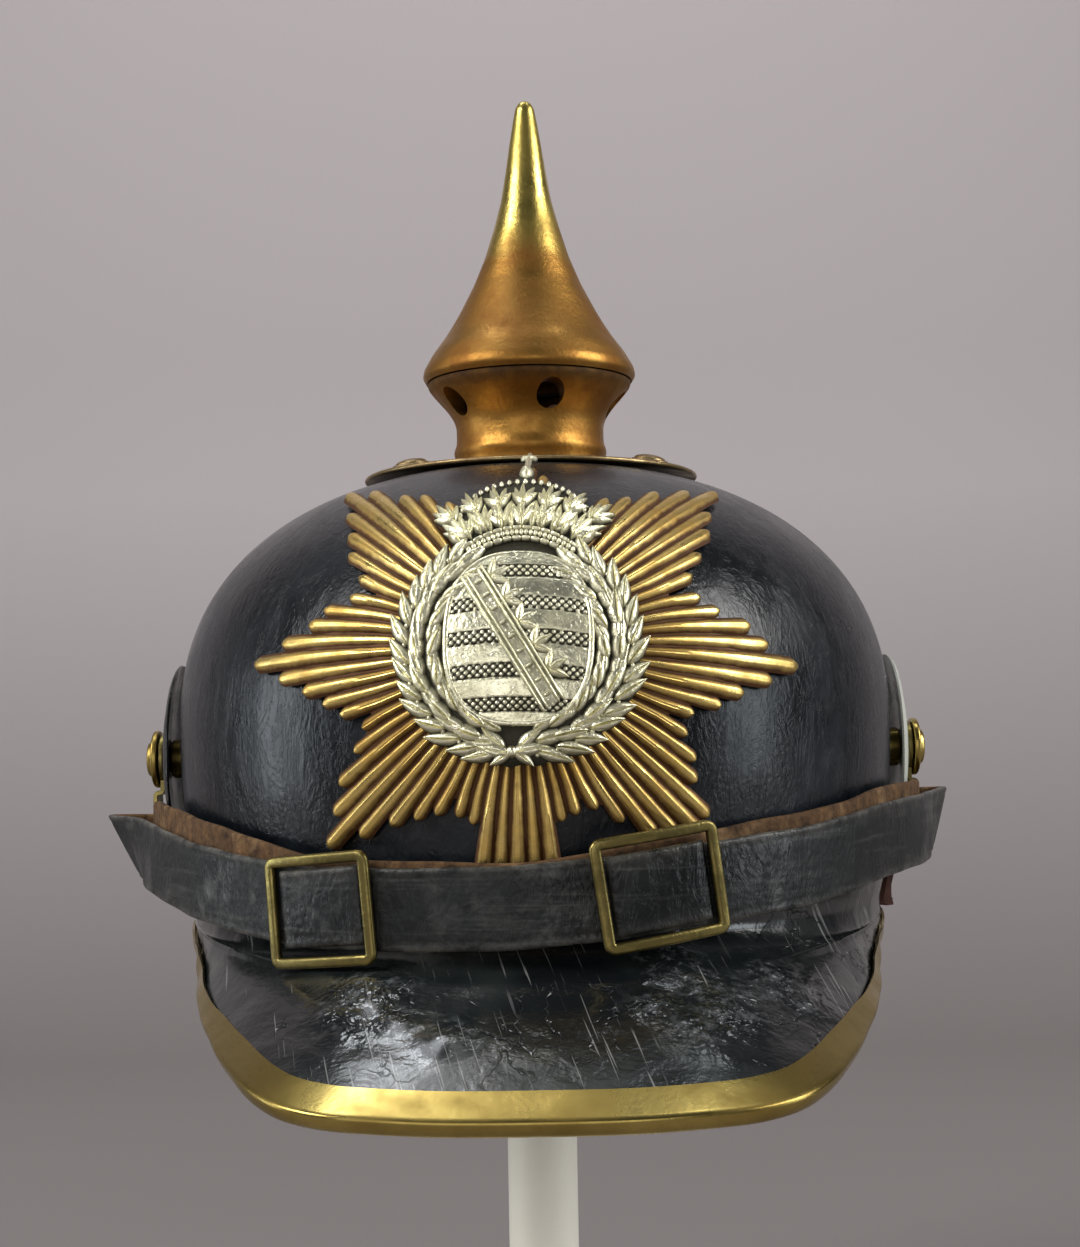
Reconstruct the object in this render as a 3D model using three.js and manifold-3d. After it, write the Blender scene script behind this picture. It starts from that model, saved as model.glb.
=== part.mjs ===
import * as THREE from "three";
import { mergeVertices } from "three/addons/utils/BufferGeometryUtils.js";
import Module from "manifold-3d";

const wasm = await Module();
wasm.setup();

// A spiked leather helmet with brass fittings on a plain stand. Millimetres, +Z up, the front faces -Y.
// Turns are degrees round the upright axis: 0 is the front, +90 the side at +X, 180 the back.

// Driving sizes of the stand
const standHeadRoom = 159;
const baseRadius = 75;
const baseThickness = 12;
const postRadius = 9;
const padRadius = 33;
const padDepth = 13;
const padEdge = 4;

// Driving sizes of the leather crown
const halfWidth = 90;
const halfLength = 112;
const domeRise = 67;
const wallDrop = 42;
const wallTaper = 5.2;
const crownWall = 2.5;
const roundness = 2.35;

// Driving sizes of the two brims
const flangeHeight = 5;
const flangeWall = 1.5;
const foldDrop = 3;
const brimWall = 2.4;
const brimBulge = 1;
const frontReach = 47.3;
const frontDrop = 29;
const frontEndTurn = 86;
const rearReach = 31.5;
const rearLip = 0.5;
const rearDrop = 16;
const rearEndDrop = 5;
const rearStartTurn = 92;
const cornerCurl = 6;
const cornerCurlSpan = 12;

// Driving sizes of the brass trim round the front brim
const trimEndTurn = 84;
const trimSheet = 0.6;
const trimNose = 0.9;
const trimOuterLeg = 7.2;
const trimInnerLeg = 3;
const trimGap = 0.5;

// Driving sizes of the base plate, its studs and the spine strip
const plateRadius = 43;
const plateEdge = 0.9;
const studRadius = 4.6;
const studRise = 2.8;
const studTurn = 52;
const studInset = 5.4;
const spineWidth = 13;
const spineSheet = 1;
const spineEndDrop = 34;

// Driving sizes of the spike and its neck
const neckRadius = 19.2;
const neckHeight = 21.6;
const neckTopRadius = 26.4;
const neckBore = 17.8;
const neckBead = 0.5;
const ventRadius = 3.5;
const ventTurn = 14;
const ventCount = 5;
const ventBelowTop = 4.2;
const spikeRadius = 27.6;
const spikeHeight = 73.4;
const spikeRim = 2.6;
const spikeCavityShare = 0.45;
const spikeFloor = 1.2;

// Driving sizes of the star and the arms
const badgeShift = -2.8;
const badgeHeight = 58.3;
const badgeTurn = -1.2;
const badgeLean = 6;
const badgeBend = 96;
const starSheet = 1.2;
const starLift = 0.9;
const starPoint = 64;
const starValley = 38;
const armsSheet = 1.6;
const armsRelief = 1.2;
const wreathHalfWidth = 24;
const wreathHalfHeight = 23.8;
const crestHalfWidth = 16.5;
const crestTop = 44;
const crestCross = 50;

// Driving sizes of the cockades, side posts and strap lugs
const cockadeRadius = 24;
const cockadeSheet = 1;
const cockadeDish = 3.6;
const postAboveRim = { left: 36.4, right: 36.4 };
const shaftRadius = 3;
const collarRadius = 5;
const headRadius = 7.4;
const headDepth = 3.6;
const lugSheet = 1.2;
const lugRingRadius = 6.6;
const lugTongueWidth = 8;
const lugTongueWall = 1.4;
const lugTongueLength = 19;
const lugStep = 1.9;

// Driving sizes of the chin strap and its buckles
const strapWidth = 17;
const strapWall = 1.6;
const strapRunGap = 0.5;
const swellStart = 58;
const swellEnd = 84;
const flareStart = 76;
const flareShare = 0.62;
const innerRunRise = 1.8;
const innerRunTurn = 30;
const foldReach = { left: 11.1, right: 8.3 };
const foldLean = { left: 4.4, right: 2.1 };
const buckleWidth = 27;
const buckleHeight = 23.6;
const buckleBar = 2.4;
const buckleWall = 1.8;
// Turn of the middle, height of the middle over the rim, tilt in degrees
const leftBuckle = [-27.5, 5.6, 5];
const rightBuckle = [14.8, 10, 8];

const clearance = 0.3;
const holeClearance = 0.3;

// Fineness of the facets
const crownSides = 40;
const domeSteps = 9;
const wallSteps = 3;
const brimSteps = 36;
const latheSides = 28;
const smallLatheSides = 14;
const strapSteps = 26;

// Heights and sizes that follow
const rimZ = standHeadRoom;
const widestZ = rimZ + wallDrop;
const crownTopZ = widestZ + domeRise;
const strapInnerFace = starLift + starSheet + clearance + wallTaper - 1.3;
const innerRunOffset = strapInnerFace + strapWall / 2;
const outerRunOffset = innerRunOffset + strapWall + strapRunGap;

const degrees = Math.PI / 180;
const lerp = THREE.MathUtils.lerp;
const clamp = THREE.MathUtils.clamp;

// Plain helpers for meshes

/** A row of equally spaced numbers, both ends included. */
function spread(from, to, steps) {
  return Array.from({ length: steps + 1 }, (_, i) => lerp(from, to, i / steps));
}

/** Value at a place in a table of rows whose first column rises. */
function readTable(rows, place, column) {
  const at = clamp(place, rows[0][0], rows[rows.length - 1][0]);
  const next = Math.max(1, rows.findIndex((row) => row[0] >= at));
  const [before, after] = [rows[next - 1], rows[next]];
  return lerp(before[column], after[column], (at - before[0]) / (after[0] - before[0]));
}

/** A geometry from points and triangles, turned so that its faces point out. */
function solidFrom(points, triangles) {
  const volume = triangles.reduce((sum, [a, b, c]) => {
    const normal = new THREE.Vector3().crossVectors(points[b], points[c]);
    return sum + points[a].dot(normal);
  }, 0);
  const faces = volume > 0 ? triangles : triangles.map(([a, b, c]) => [a, c, b]);
  const geometry = new THREE.BufferGeometry().setFromPoints(points);
  geometry.setIndex(faces.flat());
  geometry.computeVertexNormals();
  return geometry;
}

/** A closed skin over a row of rings of equal length that starts and ends in a single point. */
function wrapRings(first, rings, last) {
  const count = rings[0].length;
  const points = [first, ...rings.flat(), last];
  const end = points.length - 1;
  const triangles = [];
  for (let i = 0; i < count; i++) {
    const j = (i + 1) % count;
    triangles.push([0, 1 + i, 1 + j]);
    for (let r = 0; r + 1 < rings.length; r++) {
      const [near, far] = [1 + r * count, 1 + (r + 1) * count];
      triangles.push([near + i, far + i, far + j], [near + i, far + j, near + j]);
    }
    triangles.push([end - count + j, end - count + i, end]);
  }
  return solidFrom(points, triangles);
}

/** Triangles that fill a flat outline, all turned the same way as the outline itself. */
function capTriangles(outline) {
  const way = Math.sign(THREE.ShapeUtils.area(outline));
  return THREE.ShapeUtils.triangulateShape(outline, []).map(([a, b, c]) => {
    const area = THREE.ShapeUtils.area([outline[a], outline[b], outline[c]]);
    return Math.sign(area) === way ? [a, b, c] : [a, c, b];
  });
}

/** A solid through a row of sections; it closes on itself, or ends in caps shaped by flat outlines. */
function sweepSections(sections, caps) {
  const count = sections[0].length;
  const points = sections.flat();
  const spans = caps ? sections.length - 1 : sections.length;
  const triangles = [];
  for (let s = 0; s < spans; s++) {
    const [here, next] = [s * count, ((s + 1) % sections.length) * count];
    for (let i = 0; i < count; i++) {
      const j = (i + 1) % count;
      triangles.push([here + i, next + j, next + i], [here + i, here + j, next + j]);
    }
  }
  if (caps) {
    const last = (sections.length - 1) * count;
    for (const [a, b, c] of capTriangles(caps[0])) triangles.push([a, c, b]);
    for (const [a, b, c] of capTriangles(caps[1])) triangles.push([last + a, last + b, last + c]);
  }
  return solidFrom(points, triangles);
}

/** A lathed solid round +Z from a profile of [radius, height] rows. */
function turned(profile, sides = latheSides) {
  const rows = profile.map(([radius, height]) => new THREE.Vector2(radius, height));
  const geometry = new THREE.LatheGeometry(rows, sides).rotateX(Math.PI / 2);
  return weld(geometry);
}

/** The same shape with shared vertices joined and its faces pointing out. */
function weld(geometry) {
  const bare = geometry.clone();
  bare.deleteAttribute("normal");
  bare.deleteAttribute("uv");
  const merged = mergeVertices(bare, 1e-4);
  const place = merged.getAttribute("position");
  const pointAt = (_, i) => new THREE.Vector3().fromBufferAttribute(place, i);
  const points = Array.from({ length: place.count }, pointAt);
  const corners = Array.from(merged.index.array);
  const triangles = [];
  for (let i = 0; i < corners.length; i += 3) {
    const [a, b, c] = corners.slice(i, i + 3);
    if (a !== b && b !== c && a !== c) triangles.push([a, b, c]);
  }
  return solidFrom(points, triangles);
}

/** The geometry as a solid that can be joined and cut. */
function toSolid(geometry) {
  const joined = weld(geometry);
  const vertProperties = joined.getAttribute("position").array;
  const triVerts = new Uint32Array(joined.index.array);
  return new wasm.Manifold(new wasm.Mesh({ numProp: 3, vertProperties, triVerts }));
}

/** A cut or joined solid as a geometry. */
function toGeometry(solid) {
  const mesh = solid.getMesh();
  const geometry = new THREE.BufferGeometry();
  geometry.setAttribute("position", new THREE.BufferAttribute(mesh.vertProperties, 3));
  geometry.setIndex(new THREE.BufferAttribute(mesh.triVerts, 1));
  geometry.computeVertexNormals();
  return geometry;
}

// The crown's outer skin

/** Half width and half length of the crown at a height. */
function crownAxes(z) {
  const drop = Math.max(widestZ - z, 0) / wallDrop;
  return [halfWidth - wallTaper * drop ** 2, halfLength - wallTaper * drop ** 2];
}

/** Above zero outside the crown, below zero inside it. */
function crownSide(point) {
  const [across, along] = crownAxes(point.z);
  const rise = Math.max(point.z - widestZ, 0) / domeRise;
  return Math.hypot(point.x / across, point.y / along) ** roundness + rise ** roundness - 1;
}

/** Outward direction of the crown's skin at a point on it. */
function crownNormal(point) {
  const [across, along] = crownAxes(point.z);
  const plan = Math.hypot(point.x / across, point.y / along);
  const share = plan > 0 ? plan ** (roundness - 2) : 0;
  const rise = Math.max(point.z - widestZ, 0) / domeRise;
  return new THREE.Vector3(
    (share * point.x) / across ** 2,
    (share * point.y) / along ** 2,
    rise ** (roundness - 1) / domeRise,
  ).normalize();
}

/** Point over the crown at a turn and a height, lifted off the skin along its normal. */
function overCrown(turn, z, lift) {
  const [across, along] = crownAxes(z);
  const rise = clamp((z - widestZ) / domeRise, 0, 1);
  const plan = (1 - rise ** roundness) ** (1 / roundness);
  const point = new THREE.Vector3(
    across * plan * Math.sin(turn * degrees),
    -along * plan * Math.cos(turn * degrees),
    z,
  );
  return point.addScaledVector(crownNormal(point), lift);
}

/** Heights down the crown, close together at the top where the dome is flat. */
function crownHeights() {
  const dome = spread(90, 0, domeSteps).map(
    (climb) => widestZ + domeRise * Math.sin(climb * degrees) ** (2 / roundness),
  );
  return [...dome, ...spread(widestZ, rimZ, wallSteps).slice(1)];
}

/** The leather crown: one hollow shell, open below. */
function crownShell() {
  const turns = spread(0, 360, crownSides).slice(0, -1);
  const heights = crownHeights().slice(1);
  const ring = (z, lift) => turns.map((turn) => overCrown(turn, z, lift));
  const outside = heights.map((z) => ring(z, 0));
  const inside = heights.map((z) => ring(z, -crownWall)).reverse();
  const top = new THREE.Vector3(0, 0, crownTopZ);
  return wrapRings(top, [...outside, ...inside], new THREE.Vector3(0, 0, crownTopZ - crownWall));
}

// The brims, set out from the crown's rim

/** Point beside the crown's foot: out along the plan normal at a wall height, and up from the rim. */
function besideRim(turn, out, up, wallHeight = 0) {
  const [across, along] = crownAxes(rimZ + wallHeight);
  const plan = new THREE.Vector3(across * Math.sin(turn * degrees), -along * Math.cos(turn * degrees), 0);
  const normal = new THREE.Vector3(plan.x / across ** 2, plan.y / along ** 2, 0).normalize();
  return plan.addScaledVector(normal, out).setZ(rimZ + up);
}

// Rows of turn, share of the front reach, share of the front drop
const frontEdge = [
  [0, 0.944, 1],
  [8, 0.965, 0.997],
  [16, 1, 0.969],
  [20, 0.969, 0.934],
  [24, 0.862, 0.872],
  [28, 0.728, 0.803],
  [36, 0.494, 0.681],
  [45, 0.294, 0.566],
  [55, 0.118, 0.444],
  [65, 0.02, 0.316],
  [75, 0, 0.22],
  [frontEndTurn, 0, 0.15],
];

const foldOut = clearance + flangeWall;

/** Edge of the front brim at a turn, as out and up from the rim. */
function frontBrimEdge(turn) {
  const side = Math.abs(turn);
  const out = foldOut + frontReach * readTable(frontEdge, side, 1);
  return new THREE.Vector2(out, -frontDrop * readTable(frontEdge, side, 2));
}

/** Edge of the rear brim at a turn, as out and up from the rim. */
function rearBrimEdge(turn) {
  const share = Math.cos(turn * degrees) ** 2;
  return new THREE.Vector2(foldOut + rearLip + rearReach * share, -rearEndDrop - rearDrop * share);
}

/** How far the rear brim's corner at +X curls off the crown. */
function curlAt(turn) {
  return cornerCurl * clamp(1 - (turn - rearStartTurn) / cornerCurlSpan, 0, 1) ** 2;
}

/** Flat section of a brim: flange against the crown, fold, then the sloping leaf out to its edge. */
function brimSection(edge, curl = 0) {
  const fold = new THREE.Vector2(foldOut + curl, -foldDrop);
  const tip = edge.clone().setX(edge.x + curl);
  const along = tip.clone().sub(fold);
  const normal = new THREE.Vector2(-along.y, along.x).normalize();
  const bulge = brimBulge * Math.min(1, along.length() / frontDrop);
  const middle = fold.clone().lerp(tip, 0.5).addScaledVector(normal, bulge);
  const under = (point) => point.clone().addScaledVector(normal, -brimWall);
  const seat = clearance + curl;
  const underFold = under(fold);
  underFold.y = Math.min(underFold.y, -2 * clearance);
  return [
    new THREE.Vector2(seat, flangeHeight),
    new THREE.Vector2(foldOut + curl, flangeHeight),
    fold,
    middle,
    tip,
    under(tip),
    under(middle),
    underFold,
    new THREE.Vector2(seat, -clearance),
  ];
}

/** Sections placed round the rim and joined into one solid. */
function brimSweep(turns, sectionAt) {
  const flat = turns.map(sectionAt);
  const placed = flat.map((section, i) =>
    section.map(({ x, y }) => besideRim(turns[i], x, y, clamp(y, 0, flangeHeight))),
  );
  return sweepSections(placed, [flat[0], flat[flat.length - 1]]);
}

const frontTurns = spread(-frontEndTurn, frontEndTurn, brimSteps);

function frontVisor() {
  return brimSweep(frontTurns, (turn) => brimSection(frontBrimEdge(turn)));
}

function rearVisor() {
  const turns = spread(rearStartTurn, 360 - rearStartTurn, brimSteps);
  return brimSweep(turns, (turn) => brimSection(rearBrimEdge(turn), curlAt(turn)));
}

/** Flat section of the brass channel that grips the front brim's edge. */
function trimSection(turn) {
  const [, , fold, middle, tip] = brimSection(frontBrimEdge(turn));
  const along = tip.clone().sub(middle).normalize();
  const normal = new THREE.Vector2(-along.y, along.x);
  const slope = tip.distanceTo(fold);
  const outerLeg = clamp(slope * 0.75, 0.5, trimOuterLeg);
  const innerLeg = clamp(slope / 2 - clearance, 0.3, trimInnerLeg);
  const below = -brimWall - trimGap;
  const rows = [
    [-outerLeg, trimGap],
    [-outerLeg, trimGap + trimSheet],
    [trimGap, trimGap + trimSheet],
    [trimGap + trimNose, trimGap],
    [trimGap + trimNose, below],
    [trimGap, below - trimSheet],
    [-innerLeg, below - trimSheet],
    [-innerLeg, below],
    [trimGap, below],
    [trimGap, trimGap],
  ];
  return rows.map(([out, up]) => tip.clone().addScaledVector(along, out).addScaledVector(normal, up));
}

function visorTrim() {
  return brimSweep(frontTurns.filter((turn) => Math.abs(turn) <= trimEndTurn), trimSection);
}

// Base plate, spine, neck and spike, all round the upright axis

/** Height of the crown's skin on its long middle line, at a distance from the axis. */
function crownZAt(along) {
  return widestZ + domeRise * (1 - (along / halfLength) ** roundness) ** (1 / roundness);
}

const plateBottomZ = crownZAt(plateRadius - 1) + clearance;
const plateTopZ = crownTopZ + clearance + plateEdge;

function basePlate() {
  const inner = plateRadius * 0.55;
  return turned([
    [0, crownTopZ + clearance],
    [inner, crownZAt(inner) + 2 * clearance],
    [plateRadius - 1, plateBottomZ],
    [plateRadius, plateBottomZ],
    [plateRadius, plateBottomZ + plateEdge * 0.8],
    [plateRadius - 1, plateBottomZ + plateEdge],
    [inner, plateTopZ],
    [0, plateTopZ],
  ]);
}

/** Height of the plate's top at a distance from the axis. */
function plateTopAt(radius) {
  const inner = plateRadius * 0.55;
  const share = clamp((radius - inner) / (plateRadius - 1 - inner), 0, 1);
  return lerp(plateTopZ, plateBottomZ + plateEdge, share);
}

function baseStud() {
  return turned(
    [
      [0, 0],
      [studRadius, 0],
      [studRadius * 0.92, studRise * 0.5],
      [studRadius * 0.6, studRise * 0.88],
      [0, studRise],
    ],
    smallLatheSides,
  );
}

function rearSpine() {
  const turnToBack = 180;
  const start = crownZAt(plateRadius + 1);
  const heights = crownHeights().filter((z) => z < start - 1 && z > widestZ - spineEndDrop + 1);
  const stations = [start, ...heights, widestZ - spineEndDrop];
  const sections = stations.map((z) => {
    const near = overCrown(turnToBack, z, clearance + 0.3);
    const far = overCrown(turnToBack, z, clearance + 0.3 + spineSheet);
    const side = (point, x) => point.clone().setX(x);
    const half = spineWidth / 2;
    return [side(near, -half), side(near, half), side(far, half), side(far, -half)];
  });
  const outline = [[-1, 0], [1, 0], [1, 1], [-1, 1]].map(([x, y]) => new THREE.Vector2(x, y));
  return sweepSections(sections, [outline, outline]);
}

const neckBottomZ = plateTopZ + clearance;
const neckTopZ = neckBottomZ + neckHeight;

// Height shares of the bead at the neck's foot
const neckBeadShape = [0.1, 0.24];

// Rows of height share up the neck and outward share from waist to flare
const neckShape = [
  [0.3, 0.04],
  [0.46, 0],
  [0.6, 0.06],
  [0.74, 0.26],
  [0.87, 0.58],
  [1, 1],
];

function spikeNeck() {
  const outside = neckShape.map(([height, flare]) => [
    lerp(neckRadius, neckTopRadius, flare),
    neckBottomZ + neckHeight * height,
  ]);
  const tube = turned([
    [neckBore, neckBottomZ],
    [neckRadius, neckBottomZ],
    ...neckBeadShape.map((height) => [neckRadius + neckBead, neckBottomZ + neckHeight * height]),
    ...outside,
    [neckBore, neckTopZ],
    [neckBore, neckBottomZ],
  ]);
  let solid = toSolid(tube);
  for (let i = 0; i < ventCount; i++) {
    const drill = new THREE.CylinderGeometry(ventRadius, ventRadius, neckTopRadius, 12);
    drill.translate(0, -neckTopRadius, 0);
    drill.rotateZ((ventTurn + (360 / ventCount) * i) * degrees);
    drill.translate(0, 0, neckTopZ - ventBelowTop - ventRadius / 2);
    solid = solid.subtract(toSolid(drill));
  }
  return toGeometry(solid);
}

// Rows of height share up the spike and share of its rim radius
const spikeShape = [
  [0.05, 0.985],
  [0.1, 0.9],
  [0.147, 0.804],
  [0.197, 0.717],
  [0.246, 0.641],
  [0.345, 0.504],
  [0.443, 0.395],
  [0.542, 0.312],
  [0.64, 0.239],
  [0.739, 0.192],
  [0.837, 0.152],
  [0.93, 0.11],
  [0.975, 0.085],
  [0.995, 0.045],
];

const spikeBottomZ = neckTopZ + clearance;

function spikeCone() {
  const tip = spikeBottomZ + spikeHeight;
  const body = spikeShape.map(([height, share]) => [
    spikeRadius * share,
    spikeBottomZ + spikeHeight * height,
  ]);
  const cavity = spikeShape.filter(([height]) => height > 0.1 && height < 0.6);
  const hollow = cavity.map(([height, share]) => [
    spikeRadius * share * 0.78,
    spikeBottomZ + spikeHeight * height - spikeRim,
  ]);
  return turned([
    [0, spikeBottomZ + spikeHeight * spikeCavityShare],
    ...hollow.reverse(),
    [neckBore - 1, spikeBottomZ + spikeFloor],
    [neckBore - 1, spikeBottomZ],
    [spikeRadius - spikeRim / 2, spikeBottomZ],
    [spikeRadius, spikeBottomZ + spikeRim / 2],
    ...body,
    [0, tip],
  ]);
}

// The star and the arms, laid out flat and bent over the crown's front

const badgeFrame = (() => {
  const z = rimZ + badgeHeight;
  const [across] = crownAxes(z);
  const seat = overCrown(Math.asin(badgeShift / across) / degrees, z, 0);
  const out = crownNormal(seat).setZ(0).normalize().setZ(Math.tan(badgeLean * degrees)).normalize();
  const right = new THREE.Vector3(-out.y, out.x, 0).normalize().applyAxisAngle(out, badgeTurn * degrees);
  const up = new THREE.Vector3().crossVectors(out, right);
  return { seat, out, right, up };
})();

/** Point over the crown's front from flat badge sizes, lifted off the skin. */
function overFront(across, up, lift) {
  const reach = Math.hypot(across, up);
  const chord = reach > 0 ? (badgeBend * Math.sin(reach / badgeBend)) / reach : 1;
  const flat = badgeFrame.seat
    .clone()
    .addScaledVector(badgeFrame.right, across * chord)
    .addScaledVector(badgeFrame.up, up * chord);
  let [inside, outside] = [-halfLength, halfWidth / 2];
  for (let i = 0; i < 40; i++) {
    const middle = (inside + outside) / 2;
    const side = crownSide(flat.clone().addScaledVector(badgeFrame.out, middle));
    if (side > 0) outside = middle;
    else inside = middle;
  }
  const point = flat.addScaledVector(badgeFrame.out, inside);
  return point.addScaledVector(crownNormal(point), lift);
}

/** A sheet over the crown's front from a flat outline, with a lift for each share of the way out. */
function frontSheet(outline, bottomLift, topLiftAt, shares) {
  const ring = (share, lift) => outline.map(([x, y]) => overFront(x * share, y * share, lift));
  const top = shares.map((share) => ring(share, topLiftAt(share)));
  const bottom = shares.map((share) => ring(share, bottomLift)).reverse();
  return wrapRings(
    overFront(0, 0, topLiftAt(0)),
    [...top, ...bottom],
    overFront(0, 0, bottomLift),
  );
}

// Share of the point's length, and how slowly it narrows, for the eight points clockwise from the top
const starPoints = [
  [0.75, 0.8],
  [0.99, 0.8],
  [0.96, 0.8],
  [0.93, 0.8],
  [0.77, 1.8],
  [0.93, 0.8],
  [0.96, 0.8],
  [0.99, 0.8],
];

function starOutline() {
  const sector = 360 / starPoints.length;
  const perSector = 8;
  return spread(0, 360, starPoints.length * perSector)
    .slice(0, -1)
    .map((turn) => {
      const nearest = Math.round(turn / sector);
      const [share, fullness] = starPoints[nearest % starPoints.length];
      const away = Math.abs(turn / sector - nearest) * 2;
      const reach = lerp(starPoint * share, starValley, away ** fullness);
      return [reach * Math.sin(turn * degrees), reach * Math.cos(turn * degrees)];
    });
}

function starPlate() {
  return frontSheet(starOutline(), starLift, () => starLift + starSheet, [0.18, 0.36, 0.54, 0.7, 0.85, 1]);
}

function armsOutline() {
  const crest = [
    [-crestHalfWidth * 0.86, wreathHalfHeight * 0.9],
    [-crestHalfWidth, crestTop * 0.72],
    [-crestHalfWidth * 0.8, crestTop * 0.86],
    [-crestHalfWidth * 0.38, crestTop * 0.96],
    [-2.6, crestTop],
    [-1.8, crestCross],
    [1.8, crestCross],
    [2.6, crestTop],
    [crestHalfWidth * 0.38, crestTop * 0.96],
    [crestHalfWidth * 0.8, crestTop * 0.86],
    [crestHalfWidth, crestTop * 0.72],
    [crestHalfWidth * 0.86, wreathHalfHeight * 0.9],
  ];
  const wreath = spread(45, 315, 30).map((turn) => [
    wreathHalfWidth * Math.sin(turn * degrees),
    wreathHalfHeight * Math.cos(turn * degrees),
  ]);
  return [...crest, ...wreath];
}

const armsBottomLift = starLift + starSheet + 3 * clearance;

/** Raised rim of the wreath, a sunk ring inside it and a raised shield in the middle. */
function armsTopLift(share) {
  const ring = share > 0.45 && share < 0.68 ? 0 : armsRelief;
  return armsBottomLift + armsSheet + ring * (share < 1 ? 1 : 0);
}

function armsOverlay() {
  return frontSheet(armsOutline(), armsBottomLift, armsTopLift, [0.22, 0.44, 0.54, 0.68, 0.78, 1]);
}

// Fittings at the two sides, lathed round X

const cockadeRimX = halfWidth + 0.9;
const cockadeFaceX = cockadeRimX + cockadeDish + cockadeSheet;
const lugNearX = cockadeFaceX + clearance;
const headNearX = lugNearX + lugSheet + clearance;

/** Dish height of a cockade at a distance from its middle. */
function dishAt(radius) {
  return cockadeDish * (1 - (radius / cockadeRadius) ** 2);
}

function cockade() {
  const radii = spread(shaftRadius + holeClearance, cockadeRadius, 3);
  const outer = radii.map((radius) => [radius, dishAt(radius) + cockadeSheet]);
  const inner = radii.map((radius) => [radius, dishAt(radius)]).reverse();
  return turned([...outer, ...inner, outer[0]]);
}

function sidePost() {
  const near = halfWidth + clearance;
  const collarEnd = cockadeRimX + dishAt(collarRadius) - clearance;
  const profile = [
    [0, near],
    [collarRadius, near],
    [collarRadius, collarEnd],
    [shaftRadius, collarEnd],
    [shaftRadius, headNearX],
    [headRadius, headNearX],
    [headRadius, headNearX + headDepth * 0.45],
    [headRadius * 0.72, headNearX + headDepth * 0.88],
    [0, headNearX + headDepth],
  ];
  return turned(profile, smallLatheSides);
}

const runX = cockadeFaceX - 0.1 + clearance + strapWall / 2;
const tongueX = runX + strapWall / 2 + clearance;

/** Lug: a ring on the post and a tongue that steps out and hangs down inside the strap's fold. */
function strapLug() {
  const outline = new THREE.Shape();
  outline.absarc(0, 0, lugRingRadius, 0, 2 * Math.PI);
  const hole = new THREE.Path();
  hole.absarc(0, 0, shaftRadius + holeClearance, 0, 2 * Math.PI, true);
  outline.holes.push(hole);
  const extrude = { depth: lugSheet, bevelEnabled: false, curveSegments: 8 };
  const ring = new THREE.ExtrudeGeometry(outline, extrude);
  ring.rotateX(Math.PI / 2).rotateZ(Math.PI / 2).translate(lugNearX, 0, 0);
  const tongueTop = -headRadius - clearance;
  const box = (near, far, top, bottom) => {
    const block = new THREE.BoxGeometry(far - near, lugTongueWidth, top - bottom);
    return block.translate((near + far) / 2, 0, (top + bottom) / 2);
  };
  const neck = box(lugNearX, lugNearX + lugSheet, 1 - lugRingRadius, tongueTop - lugStep);
  const step = box(lugNearX, tongueX + lugTongueWall, tongueTop, tongueTop - lugStep);
  const tongue = box(tongueX, tongueX + lugTongueWall, tongueTop, tongueTop - lugTongueLength);
  return toGeometry([neck, step, tongue].reduce((sum, piece) => sum.add(toSolid(piece)), toSolid(ring)));
}

// The chin strap: one closed loop of flat leather, folded over the front brim

// Rows of turn and height of the outer run's top edge over the rim
const strapTopEdge = [
  [-100, 22.6],
  [-74, 21.3],
  [-48, 17.1],
  [-30, 14.4],
  [0, 15],
  [25, 19.2],
  [42, 21.6],
  [58, 24.7],
  [100, 25.9],
];

const strapSwell = runX - (halfWidth - wallTaper) - innerRunOffset;

/** Values for the side that a turn lies on. */
function sideValue(pair, turn) {
  return turn > 0 ? pair.right : pair.left;
}

/** Middle of the inner run at a turn: it swings out past the cockades, a little higher than the outer run. */
function innerStation(turn) {
  const side = Math.abs(turn);
  const swing = strapSwell * THREE.MathUtils.smoothstep(side, swellStart, swellEnd);
  const fade = clamp((90 - side) / (90 - flareStart), 0, 1);
  const rise = innerRunRise * Math.min(1, side / innerRunTurn) * fade;
  const plan = besideRim(turn, innerRunOffset + swing, 0);
  return { plan, top: readTable(strapTopEdge, turn, 1) + rise };
}

/** Middle of the outer run at a turn: beside the inner run, then flaring off to the fold's tip. */
function outerStation(turn) {
  const side = Math.abs(turn);
  const swing = strapSwell * THREE.MathUtils.smoothstep(side, swellStart, swellEnd);
  const flare = clamp((side - flareStart) / (90 - flareStart), 0, 1) ** 2;
  const out = outerRunOffset + swing + flareShare * sideValue(foldReach, turn) * flare;
  return { plan: besideRim(turn, out, 0), top: readTable(strapTopEdge, turn, 1) };
}

// Rows along the fold, from its tip back to the inner run: share of the reach, and distance behind the post
const foldRows = [
  [1, 3],
  [0.85, 5.6],
  [0.45, 7],
  [0.12, 6.4],
  [0, 4.2],
];

/** The fold at one side, from the outer run back to the inner run. */
function strapFold(side) {
  return foldRows.map(([share, behind]) => ({
    plan: new THREE.Vector3(side * (runX + sideValue(foldReach, side) * share), behind, 0),
    top: readTable(strapTopEdge, side * 90, 1),
  }));
}

/** Outward lean of the strap's top edge, which grows towards the fold's tip. */
function leanAt(plan) {
  const share = clamp((Math.abs(plan.x) - runX) / sideValue(foldReach, plan.x), 0, 1);
  return Math.sign(plan.x) * sideValue(foldLean, plan.x) * share;
}

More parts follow.
